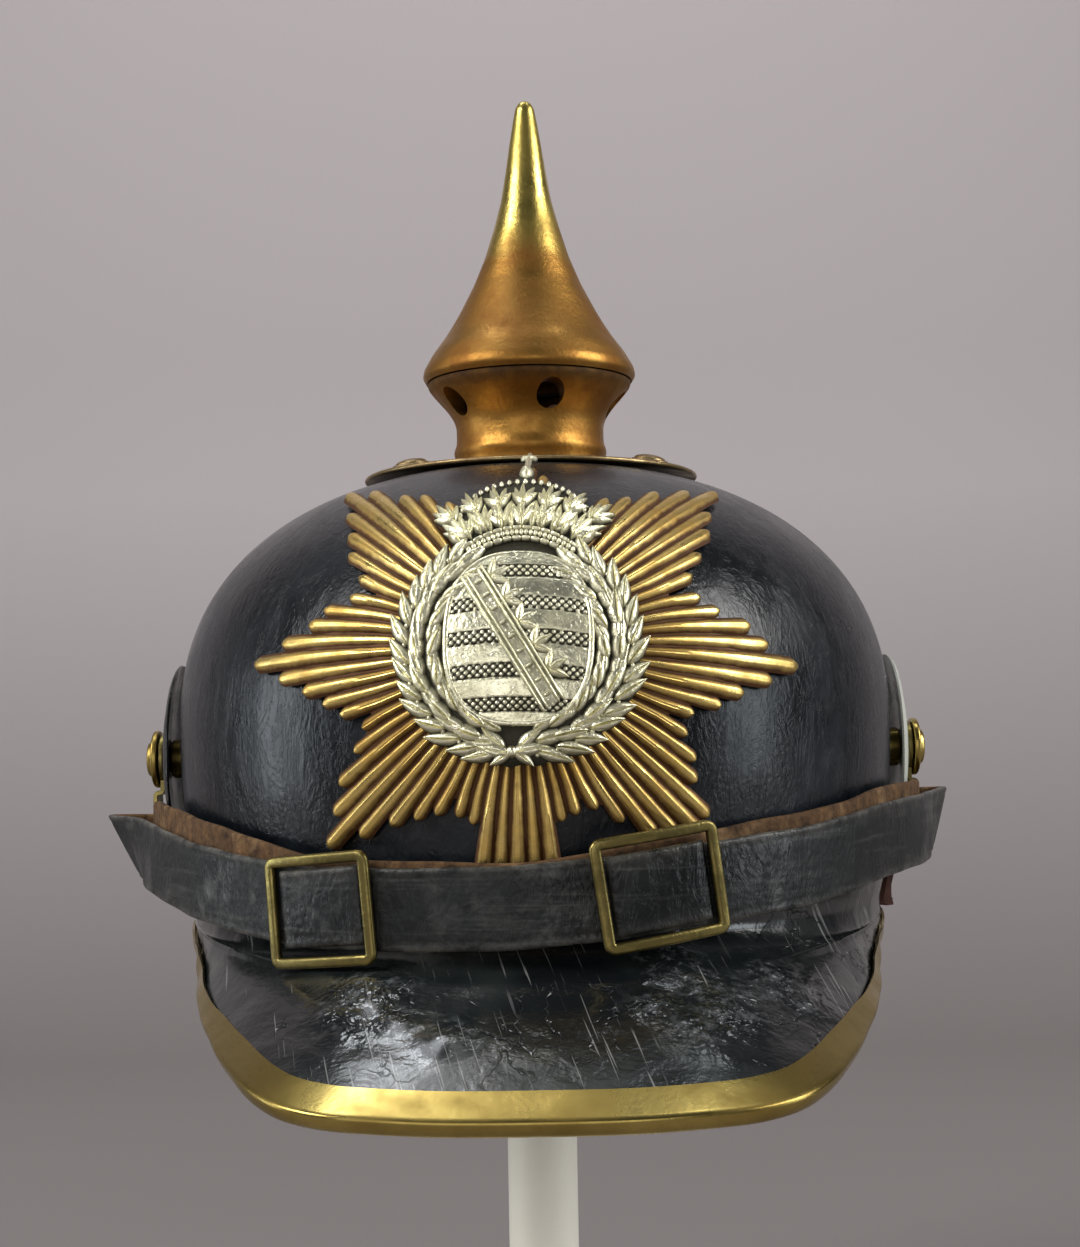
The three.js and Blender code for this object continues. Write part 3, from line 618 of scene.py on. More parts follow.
@dataclass(frozen=True)
class CrazedFinish(Finish):
    """Glossy black lacquer over leather, cracked and scratched."""

    colour: tuple = (0.006, 0.0075, 0.0085)
    chip: tuple = (0.16, 0.065, 0.025)
    under: tuple = (0.05, 0.03, 0.019)
    dulled: tuple = (0.015, 0.019, 0.018)
    scratched: tuple = (0.20, 0.20, 0.195)
    painted_glint: tuple = (0.15, 0.16, 0.165)
    cracked: tuple = (0.002, 0.002, 0.002)

    def inputs(self, g: Graph) -> dict[str, object]:
        """Lacquer with matt cracks, pale scratches, painted glints on the crumples and a few brown chips."""
        crumple = g.mark("crumple")
        craze = g.group(SHELF.take(Effect.CRAZE), Crumple=crumple)
        cracks, scratches = craze.outputs["Cracks"], craze.outputs["Scratches"]
        dull = g.span(g.noise(26.0, 3.0), 0.48, 0.68)
        colour = g.blend(dull, self.colour, self.dulled)
        colour = g.blend(g.times(scratches, 0.75), colour, self.scratched)
        # Painted highlight: pale patches on the crumples stand for glints of light on the lacquer.
        painted_glint = g.times(crumple, g.span(g.noise(330.0, 5.0, 0.75), 0.5, 0.64))
        colour = g.blend(g.times(painted_glint, 0.6), colour, self.painted_glint)
        colour = g.blend(cracks, colour, self.cracked)
        chips = g.span(g.noise(85.0, 4.0, 0.7), 0.735, 0.755)
        colour = g.blend(chips, colour, self.chip)
        raw = g.mark("raw")
        rough = g.plus(g.span(dull, 0.0, 1.0, 0.13, 0.34), g.times(cracks, 0.5))
        rough = g.larger(rough, g.times(raw, 0.75))
        return {
            "Base Color": g.blend(raw, colour, self.under),
            "Roughness": g.plus(rough, g.times(chips, 0.4)),
            "Normal": self.bump(g, craze.outputs["Height"], 1.5),
            "Coat Weight": 0.35,
            "Coat Roughness": 0.12,
        }


@dataclass(frozen=True)
class StrapFinish(Finish):
    """Strap leather: charcoal grain side, tan flesh side, pale cut edges.

    The marks "flesh" and "edge" are 1 on the flesh side and along the edges.
    """

    grain: tuple = (0.005, 0.006, 0.0062)
    flesh: tuple = (0.15, 0.08, 0.034)
    worn: tuple = (0.013, 0.015, 0.0155)
    scuffed: tuple = (0.17, 0.175, 0.165)
    hairline: tuple = (0.16, 0.16, 0.15)
    cut: tuple = (0.17, 0.16, 0.135)
    dark_flesh: tuple = (0.03, 0.016, 0.009)
    pale_flesh: tuple = (0.24, 0.15, 0.072)

    def inputs(self, g: Graph) -> dict[str, object]:
        """Grain or flesh by the mark, with scuffs along the edges."""
        hide = g.group(SHELF.take(Effect.HIDE), Pores=700.0, Wrinkles=0.5)
        scuff = g.group(SHELF.take(Effect.SCUFF), Amount=0.8)
        edge = g.times(g.mark("edge"), g.span(g.noise(180.0, 4.0, 0.7), 0.35, 0.62))
        colour = g.blend(hide.outputs["Patches"], self.grain, self.worn)
        colour = g.blend(g.times(scuff.outputs["Scuffs"], 0.9), colour, self.scuffed)
        colour = g.blend(g.times(scuff.outputs["Hairlines"], 0.25), colour, self.hairline)
        colour = g.blend(g.times(edge, 0.7), colour, self.cut)
        mottle = g.span(g.noise(260.0, 5.0, 0.75), 0.35, 0.68)
        suede = g.blend(mottle, self.flesh, self.dark_flesh)
        suede = g.blend(g.span(g.noise(110.0, 4.0, 0.7), 0.52, 0.72), suede, self.pale_flesh)
        flesh = g.mark("flesh")
        polish = g.span(g.noise(42.0, 4.0, 0.6), 0.38, 0.62, 0.27, 0.56)
        return {
            "Base Color": g.blend(flesh, colour, suede),
            "Roughness": g.larger(polish, g.times(flesh, 0.92)),
            "Normal": self.bump(g, hide.outputs["Height"], 0.5),
            "Specular IOR Level": 0.3,
        }


@dataclass(frozen=True)
class RawEdgeFinish(Finish):
    """Black lacquered leather whose underside and cut corners are raw reddish brown.

    The mark "raw" is 1 where the leather is bare.
    """

    raw: tuple = (0.105, 0.038, 0.026)
    raw_grain: tuple = (0.045, 0.017, 0.012)
    lacquer: tuple = (0.010, 0.011, 0.012)
    dulled: tuple = (0.024, 0.027, 0.027)
    cracked: tuple = (0.002, 0.002, 0.002)

    def inputs(self, g: Graph) -> dict[str, object]:
        """Lacquer or bare leather by the mark."""
        craze = g.group(SHELF.take(Effect.CRAZE), Amount=0.35)
        grain = g.span(g.noise(240.0, 5.0, 0.7), 0.3, 0.7)
        bare = g.blend(grain, self.raw, self.raw_grain)
        dark = g.blend(g.span(g.noise(30.0, 3.0), 0.45, 0.7), self.lacquer, self.dulled)
        raw = g.mark("raw")
        return {
            "Base Color": g.blend(raw, g.blend(craze.outputs["Cracks"], dark, self.cracked), bare),
            "Roughness": g.span(raw, 0.0, 1.0, 0.24, 0.8),
            "Normal": self.bump(g, craze.outputs["Height"], 0.6),
        }


@dataclass(frozen=True)
class MetalFinish(Finish):
    """Aged metal: a clean colour, a tarnish and how far it has spread."""

    clean: tuple = (0.62, 0.40, 0.13)
    tarnish: tuple = (0.20, 0.10, 0.035)
    amount: float = 0.5
    scale: float = 60.0
    shine: float = 0.25
    dents: float = 0.08
    dirt: tuple = (0.03, 0.014, 0.006)
    full_dark_depth: float = 0.9
    upper: tuple | None = None

    def inputs(self, g: Graph) -> dict[str, object]:
        """Tarnished metal with a dark colour where the mark "groove" grows, standing for grime and painted
        shade, and "upper" where "polish" does.
        """
        clean, tarnish = self.clean, self.tarnish
        if self.upper:
            clouds = g.times(g.minus(g.noise(70.0, 4.0), 0.5), 0.6)
            climb = g.span(g.plus(g.mark("polish"), clouds), 0.3, 0.8)
            clean = g.blend(climb, self.clean, self.upper)
            tarnish = g.blend(climb, self.tarnish, tuple(0.5 * c for c in self.upper))
        aged = g.group(
            SHELF.take(Effect.TARNISH), Clean=clean, Tarnish=tarnish,
            Amount=self.amount, Scale=self.scale, Shine=self.shine,
        )
        # Painted shade: the recess mask darkens grooves and gaps, with real grime, and makes them rougher and
        # less metallic.
        recess = g.group(
            SHELF.take(Effect.RECESS), Depth=g.mark("groove"), Clean=aged.outputs["Color"],
            Dirt=self.dirt, End=self.full_dark_depth,
        )
        low = recess.outputs["Mask"]
        rough = aged.outputs["Roughness"]
        if self.upper:
            rough = g.minus(g.plus(rough, 0.1), g.times(climb, 0.17))
        return {
            "Base Color": recess.outputs["Color"],
            "Metallic": g.span(low, 0.0, 1.0, 1.0, 0.55),
            "Roughness": g.plus(rough, g.times(low, 0.3)),
            "Normal": self.bump(g, aged.outputs["Height"], self.dents),
        }


@dataclass(frozen=True)
class CockadeFinish(Finish):
    """Lacquered metal disc, in a second colour where the mark "band" is 1."""

    colour: tuple = (0.006, 0.006, 0.007)
    band: tuple = (0.006, 0.006, 0.007)
    chipped: tuple = (0.09, 0.075, 0.05)

    def inputs(self, g: Graph) -> dict[str, object]:
        """Lacquer with a coloured band and a few small chips."""
        chips = g.span(g.noise(240.0, 4.0, 0.7), 0.68, 0.74)
        colour = g.blend(g.mark("band"), self.colour, self.band)
        colour = g.blend(g.times(chips, 0.6), colour, self.chipped)
        return {
            "Base Color": colour,
            "Roughness": g.span(g.noise(120.0, 3.0), 0.3, 0.7, 0.2, 0.42),
            "Normal": self.bump(g, g.noise(300.0, 3.0), 0.12),
            "Coat Weight": 0.3,
        }


@dataclass(frozen=True)
class PaintFinish(Finish):
    """Matt stand paint, a little uneven."""

    colour: tuple = (0.74, 0.72, 0.63)

    def inputs(self, g: Graph) -> dict[str, object]:
        """Paint with faint clouds and roller texture."""
        clouds = g.span(g.noise(22.0, 3.0), 0.3, 0.7)
        return {
            "Base Color": g.blend(clouds, self.colour, tuple(0.9 * c for c in self.colour)),
            "Roughness": g.span(clouds, 0.0, 1.0, 0.45, 0.58),
            "Normal": self.bump(g, g.noise(700.0, 3.0), 0.08),
        }


@dataclass(frozen=True)
class PaperFinish(Finish):
    """Backdrop paper: pale pinkish grey with faint clouds, darkened low down by painted shade, most on the
    floor from under the stand back.
    """

    colour: tuple = (0.40, 0.365, 0.372)
    floor: tuple = (0.185, 0.167, 0.165)
    table: tuple = (0.27, 0.245, 0.243)
    cloud: tuple = (0.3, 0.27, 0.27)

    def inputs(self, g: Graph) -> dict[str, object]:
        """Matt paper."""
        clouds = g.span(g.noise(2.5, 3.0), 0.3, 0.7)
        place = g.node("SeparateXYZ", {0: g.node("TexCoord").outputs["Object"]}).outputs
        # Painted shade: the floor is darker than the wall, darkest from under the stand back, and a little
        # lighter towards the front.
        near = g.blend(g.span(place["Y"], -0.15, 0.2), self.table, self.floor)
        shade = g.blend(g.span(place["Z"], 0.0, 0.42), near, self.colour)
        return {
            "Base Color": g.blend(g.times(clouds, 0.06), shade, self.cloud),
            "Roughness": 0.9,
            "Specular IOR Level": 0.2,
        }


CROWN_HIDE = HideFinish("crown hide", "crown_leather")
CRAZED_BLACK = CrazedFinish("crazed black lacquer", "brim_leather")
REAR_BLACK = RawEdgeFinish("rear brim leather", "brim_leather")
STRAP_HIDE = StrapFinish("strap leather", "strap_leather")
YELLOW_BRASS = MetalFinish(
    "yellow brass", "brass", (0.46, 0.35, 0.105), (0.29, 0.205, 0.055), 0.5, 42.0, 0.18, 0.015)
PLATE_BRASS = MetalFinish(
    "dull plate brass", "brass", (0.46, 0.35, 0.17), (0.19, 0.125, 0.06), 0.5, 90.0, 0.28)
SPIKE_BRASS = MetalFinish(
    "reddened spike brass", "spike_brass", (0.36, 0.188, 0.042), (0.22, 0.098, 0.022), 0.5, 75.0, 0.27,
    upper=(0.74, 0.58, 0.15))
# The dark colours of the star and the silver paint shade into their recesses, along with grime.
STAR_BRASS = MetalFinish(
    "gilt star brass", "star_brass", (0.82, 0.60, 0.20), (0.55, 0.35, 0.09), 0.45, 90.0, 0.23, 0.03,
    dirt=(0.085, 0.034, 0.008), full_dark_depth=0.8)
PALE_SILVER = MetalFinish(
    "pale nickel silver", "nickel_silver", (0.97, 0.935, 0.69), (0.66, 0.63, 0.43), 0.4, 190.0, 0.3, 0.24,
    dirt=(0.035, 0.032, 0.018), full_dark_depth=0.82)
OLIVE_BRASS = MetalFinish(
    "dull olive brass", "olive_brass", (0.31, 0.25, 0.085), (0.13, 0.105, 0.038), 0.55, 110.0, 0.27)
BLACK_LACQUER = CockadeFinish("black cockade lacquer", "dark_lacquer")
WHITE_LACQUER = CockadeFinish(
    "white cockade lacquer", "white_lacquer", (0.55, 0.57, 0.50), (0.03, 0.16, 0.07))
STAND_PAINT = PaintFinish("stand paint", "stand_white")
BACKDROP_PAPER = PaperFinish("backdrop paper", "")


def dress(piece: bpy.types.Object, finish: Finish, *nodes: str) -> bpy.types.Object:
    """Gives a piece its finish and its body, and hides the CAD nodes that it stands for.

    Args:
        piece: The new object.
        finish: Its finish.
        *nodes: CAD nodes that it replaces.

    Returns:
        The piece.
    """
    piece.data.materials.append(finish.build())
    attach(piece, "root")
    if nodes:
        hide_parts(*nodes)
    LOG.info("%s: %d faces", piece.name, len(piece.data.polygons))
    return piece


# The crown's form, which everything else is set out from

@dataclass(frozen=True)
class CrownForm:
    """Outer skin of the crown: (plan)^n + (rise)^n = 1 over the widest ring, an oval wall below it."""

    rim_z: float = 159.0
    half_width: float = 90.0
    half_length: float = 112.0
    dome_rise: float = 67.0
    wall_drop: float = 42.0
    wall_taper: float = 5.2
    roundness: float = 2.35

    @property
    def widest_z(self) -> float:
        """Height of the widest ring."""
        return self.rim_z + self.wall_drop

    @property
    def top_z(self) -> float:
        """Height of the crown's top."""
        return self.widest_z + self.dome_rise

    def axes(self, z: Array) -> tuple[Array, Array]:
        """Half width and half length at a height; both shrink with the square of the drop."""
        drop = np.maximum(self.widest_z - np.asarray(z, float), 0) / self.wall_drop
        taper = self.wall_taper * drop ** 2
        return self.half_width - taper, self.half_length - taper

    def side(self, points: Array) -> Array:
        """Above zero outside the skin, below zero inside it."""
        across, along = self.axes(points[..., 2])
        rise = np.maximum(points[..., 2] - self.widest_z, 0) / self.dome_rise
        plan = np.hypot(points[..., 0] / across, points[..., 1] / along)
        return plan ** self.roundness + rise ** self.roundness - 1

    def normals(self, points: Array) -> Array:
        """Outward directions of the skin."""
        across, along = self.axes(points[..., 2])
        x, y = points[..., 0], points[..., 1]
        share = np.maximum(np.hypot(x / across, y / along), 1e-9) ** (self.roundness - 2)
        rise = np.maximum(points[..., 2] - self.widest_z, 0) / self.dome_rise
        up = rise ** (self.roundness - 1) / self.dome_rise
        return unit(np.stack([share * x / across ** 2, share * y / along ** 2, up], -1))

    def over(self, turn: Array, z: Array, lift: Array) -> Array:
        """Points over the skin at turns and heights, lifted along its normal."""
        turn, z, lift = np.broadcast_arrays(np.radians(turn), np.asarray(z, float), np.asarray(lift, float))
        across, along = self.axes(z)
        rise = np.clip((z - self.widest_z) / self.dome_rise, 0, 1)
        plan = (1 - rise ** self.roundness) ** (1 / self.roundness)
        points = np.stack([across * plan * np.sin(turn), -along * plan * np.cos(turn), z], -1)
        return points + self.normals(points) * lift[..., None]

    def beside_rim(
        self, turn: Array, out: Array, up: Array, wall: Array | float = 0.0,
    ) -> Array:
        """Points beside the crown's foot: out along the plan normal at a wall height, and up from the rim."""
        turn, out, up, wall = np.broadcast_arrays(np.radians(turn), out, up, wall)
        across, along = self.axes(self.rim_z + wall)
        x, y = across * np.sin(turn), -along * np.cos(turn)
        normal = unit(np.stack([x / across ** 2, y / along ** 2, np.zeros_like(x)], -1))
        points = np.stack([x, y, self.rim_z + up], -1)
        return points + normal * out[..., None]

    def middle_z(self, along: Array) -> Array:
        """Height of the skin on the long middle line, at a distance from the axis."""
        share = np.asarray(along) / self.half_length
        return self.widest_z + self.dome_rise * (1 - share ** self.roundness) ** (1 / self.roundness)


@dataclass
class Crown:
    """The hollow leather crown."""

    form: CrownForm
    wall: float = 2.5
    sides: int = 200
    dome_steps: int = 56
    wall_steps: int = 18
    rim_steps: int = 7
    rim_round: float = 0.6

    def build(self) -> None:
        """Outer skin from the top down, a round rim, then the inner skin back up."""
        f = self.form
        climb = np.radians(np.linspace(89.6, 0, self.dome_steps))
        dome = f.widest_z + f.dome_rise * np.sin(climb) ** (2 / f.roundness)
        wall = np.linspace(f.widest_z, f.rim_z + 2 * self.rim_round, self.wall_steps)
        heights = np.concatenate([dome, wall[1:]])
        turn = np.linspace(0, 360, self.sides, endpoint=False)
        outer = f.over(turn[None], heights[:, None], 0.0)
        inner = f.over(turn[None], heights[::-1, None], -self.wall)
        bend = np.radians(np.linspace(10, 170, self.rim_steps))[:, None]
        low = f.over(turn[None], np.full_like(bend, f.rim_z), -self.wall * (0.5 - 0.5 * np.cos(bend)))
        low[..., 2] = f.rim_z + self.rim_round - self.rim_round * np.sin(bend)
        rings = np.concatenate([outer, low, inner])
        inside = (np.arange(len(rings)) >= len(rings) // 2).astype(float)
        loft = Loft(rings, marks={"raw": inside[:, None] * np.ones(self.sides)})
        dress(mesh_object("crown_leather_shell", [loft]), CROWN_HIDE, "crown_shell")


@dataclass
class Brims:
    """The two leather brims and the brass trim round the front one.

    A brim's section is a flange against the crown, a fold, and a leaf that runs out
    to its edge along (1-s)^2 fold + 2s(1-s) control + s^2 tip. A crumple is a swell of
    the front brim: its place, its span and its rise.
    """

    form: CrownForm
    flange_height: float = 5.0
    flange_wall: float = 1.5
    fold_drop: float = 3.0
    fold_end: float = 0.12
    seam_at: float = 0.24
    seam_rise: float = 0.45
    wall: float = 2.4
    bulge: float = 1.0
    front_reach: float = 47.3
    front_drop: float = 29.0
    front_end: float = 86.0
    rear_reach: float = 31.5
    rear_lip: float = 0.5
    rear_drop: float = 16.0
    rear_end_drop: float = 5.0
    rear_start: float = 92.0
    curl: float = 6.0
    curl_span: float = 12.0
    edge_wall: float = 1.7
    trim_end: float = 84.0
    trim_sheet: float = 0.6
    trim_nose: float = 0.9
    trim_outer: float = 7.2
    trim_inner: float = 3.0
    trim_taper: float = 0.68
    trim_corner: tuple = (22.0, 50.0)
    trim_gap: float = 0.5
    clearance: float = 0.3
    seam_width: float = 0.035
    full_crumple: float = 0.7
    crumples: tuple = (
        (-35.0, -117.5, 7.5, 1.5), (-17.0, -133.0, 4.5, 0.8), (-27.0, -127.0, 3.6, 0.5),
        (27.0, -110.0, 6.0, 1.2), (38.0, -121.0, 6.5, 1.1), (22.0, -124.0, 4.0, 0.55),
        (51.0, -108.0, 7.5, 0.9), (30.0, -132.0, 5.0, 0.6),
    )
    front_edge: tuple = (
        (0, 0.944, 1), (8, 0.965, 0.997), (16, 1, 0.969), (20, 0.969, 0.934), (24, 0.862, 0.872),
        (28, 0.728, 0.803), (36, 0.494, 0.681), (45, 0.294, 0.566), (55, 0.118, 0.444),
        (65, 0.02, 0.316), (75, 0, 0.22), (86, 0, 0.15),
    )

    @property
    def fold_out(self) -> float:
        """Distance of the flange's face from the crown."""
        return self.clearance + self.flange_wall

    def front_tip(self, turn: Array) -> tuple[Array, Array]:
        """Edge of the front brim, as out and up from the rim."""
        side = np.abs(turn)
        out = self.fold_out + self.front_reach * read_rows(self.front_edge, side, 1, 3.0)
        return out, -self.front_drop * read_rows(self.front_edge, side, 2, 3.0)

    def rear_tip(self, turn: Array) -> tuple[Array, Array]:
        """Edge of the rear brim, as out and up from the rim."""
        share = np.cos(np.radians(turn)) ** 2
        out = self.fold_out + self.rear_lip + self.rear_reach * share
        return out, -self.rear_end_drop - self.rear_drop * share

    def leaf(
        self, tip: tuple[Array, Array], curl: Array, s: Array, lift: Array | float,
    ) -> Array:
        """Points on the leaf, lifted along its normal.

        Args:
            tip: Out and up of the edge at each turn.
            curl: How far the brim stands off the crown at each turn.
            s: Share of the way to the edge, one column a turn or one row for all.
            lift: Height over the upper face.

        Returns:
            Out and up, shaped (turns, shares, 2).
        """
        fold = np.stack([self.fold_out + curl, np.full_like(curl, -self.fold_drop)], -1)[:, None]
        end = np.stack([tip[0] + curl, tip[1]], -1)[:, None]
        chord = end - fold
        length = np.linalg.norm(chord, axis=-1, keepdims=True)
        normal = -to_right(chord) / length
        control = (fold + end) / 2 + normal * 2 * self.bulge * np.minimum(1, length / self.front_drop)
        s = np.broadcast_to(s, (len(curl), s.shape[-1]))[..., None]
        point = (1 - s) ** 2 * fold + 2 * s * (1 - s) * control + s ** 2 * end
        slope = unit(2 * (1 - s) * (control - fold) + 2 * s * (end - control))
        return point - to_right(slope) * np.broadcast_to(lift, s.shape[:-1])[..., None]

    def place(self, turn: Array, section: Array) -> Array:
        """A section of out and up, shaped (turns, points, 2), set round the rim."""
        up = section[..., 1]
        return self.form.beside_rim(turn[:, None], section[..., 0], up, np.clip(up, 0, self.flange_height))

    def brim(self, turn: Array, tip: tuple[Array, Array], curl: Array) -> Loft:
        """A whole brim.

        Args:
            turn: Turns round the crown.
            tip: Out and up of the edge at each turn.
            curl: How far the brim stands off the crown at each turn.

        Returns:
            Sections joined round the rim, with the mark "raw" on the underside and the cut edges.
        """
        count = len(turn)
        seat, face = self.clearance + curl, self.fold_out + curl
        high = self.flange_height
        corners = [
            (seat, high), (seat + 0.25, high + 0.35), (face - 0.35, high + 0.3), (face, high - 0.4),
            (face, 1.2),
        ]
        flange = np.stack([np.stack([out, np.full(count, up)], -1) for out, up in corners], 1)
        s = np.linspace(self.fold_end, 1, 26)[None]
        top = self.leaf(tip, curl, s, self.seam_rise * hump(s, self.seam_at, self.seam_width))
        t = np.linspace(0, 1, 8)[1:-1][None, :, None]
        hinge = np.stack([face, np.full(count, 0.6 - self.fold_drop)], -1)[:, None]
        fold = (1 - t) ** 2 * flange[:, -1:] + 2 * t * (1 - t) * hinge + t ** 2 * top[:, :1]
        bend = np.linspace(0, math.pi, 7)[None, 1:-1]
        edge = self.edge_wall
        end = self.leaf(tip, curl, 1 + 0.012 * np.sin(bend), -edge * (0.5 - 0.5 * np.cos(bend)))
        back = s[:, ::-1]
        under = self.leaf(tip, curl, back, -(self.wall + (edge - self.wall) * smooth_step(back, 0.3, 0.85)))
        under[..., 1] = np.minimum(under[..., 1], -2 * self.clearance)
        under[..., 0] = np.maximum(under[..., 0], seat[:, None] - 2.0)
        foot = np.stack([seat, np.full(count, -self.clearance)], -1)[:, None]
        section = np.concatenate([flange, fold, top, end, under, foot], 1)
        raw = np.zeros(section.shape[:2])
        raw[:, flange.shape[1] + fold.shape[1] + top.shape[1] + 1:] = 1
        return Loft(self.place(turn, section), marks={"raw": raw})

    def trim(self, turn: Array) -> Loft:
        """The brass channel: an outer leg over the leaf, a round nose and a short leg under it."""
        tip = self.front_tip(turn)
        curl = np.zeros(len(turn))
        length = np.hypot(tip[0] - self.fold_out, tip[1] + self.fold_drop)
        narrow = 1 - self.trim_taper * smooth_step(np.abs(turn), *self.trim_corner)
        leg = np.clip(length * 0.75, 0.5, self.trim_outer) * narrow / length
        inner = np.clip(length / 2 - self.clearance, 0.3, self.trim_inner) / length
        row = np.linspace(0, 1, 9)[None]
        low, high = self.trim_gap, self.trim_gap + self.trim_sheet
        below = -self.edge_wall - self.trim_gap - 0.1
        end = (self.trim_gap / length)[:, None]
        outer_s = 1 - leg[:, None] + (leg[:, None] + end) * row
        inner_s = 1 + end - (inner[:, None] + end) * row
        outer_face = self.leaf(tip, curl, outer_s, high)
        bead = self.leaf(tip, curl, outer_s[:, :1], (low + high) / 2)
        bend = np.linspace(0, math.pi, 9)[None, 1:-1]
        reach = (self.trim_nose / length)[:, None]
        middle, half = (high + below - self.trim_sheet) / 2, (high - below + self.trim_sheet) / 2
        nose = self.leaf(tip, curl, 1 + end + reach * np.sin(bend), middle + half * np.cos(bend))
        under_face = self.leaf(tip, curl, inner_s, below - self.trim_sheet)
        under_back = self.leaf(tip, curl, inner_s[:, ::-1], below)
        inside = self.leaf(tip, curl, outer_s[:, ::-1], low)
        section = np.concatenate([bead, outer_face, nose, under_face, under_back, inside], 1)
        return Loft(self.place(turn, section))

    def build(self) -> None:
        """Front brim, rear brim and trim."""
        turn = np.linspace(-self.front_end, self.front_end, 241)
        front = self.brim(turn, self.front_tip(turn), np.zeros(len(turn)))
        x, y, _ = np.moveaxis(front.rings, -1, 0)
        swell = sum(rise * hump(x, at, span) * hump(y, deep, span) for at, deep, span, rise in self.crumples)
        front.rings[..., 2] += swell
        # The crumple mark also places the lacquer's pale painted glints on these swells.
        front.marks["crumple"] = np.clip(swell / self.full_crumple, 0, 1)
        dress(mesh_object("front_brim_leather", [front]), CRAZED_BLACK, "front_visor")
        turn = np.linspace(self.rear_start, 360 - self.rear_start, 201)
        curl = self.curl * np.clip(1 - (turn - self.rear_start) / self.curl_span, 0, 1) ** 2
        rear = self.brim(turn, self.rear_tip(turn), curl)
        corner = smooth_step(turn, self.rear_start + 9, self.rear_start + 3)
        rear.marks["raw"] = np.maximum(rear.marks["raw"], corner[None, :, None])
        dress(mesh_object("rear_brim_leather", [rear]), REAR_BLACK, "rear_visor")
        turn = np.linspace(-self.trim_end, self.trim_end, 241)
        dress(mesh_object("front_brim_trim", [self.trim(turn)]), YELLOW_BRASS, "visor_trim")


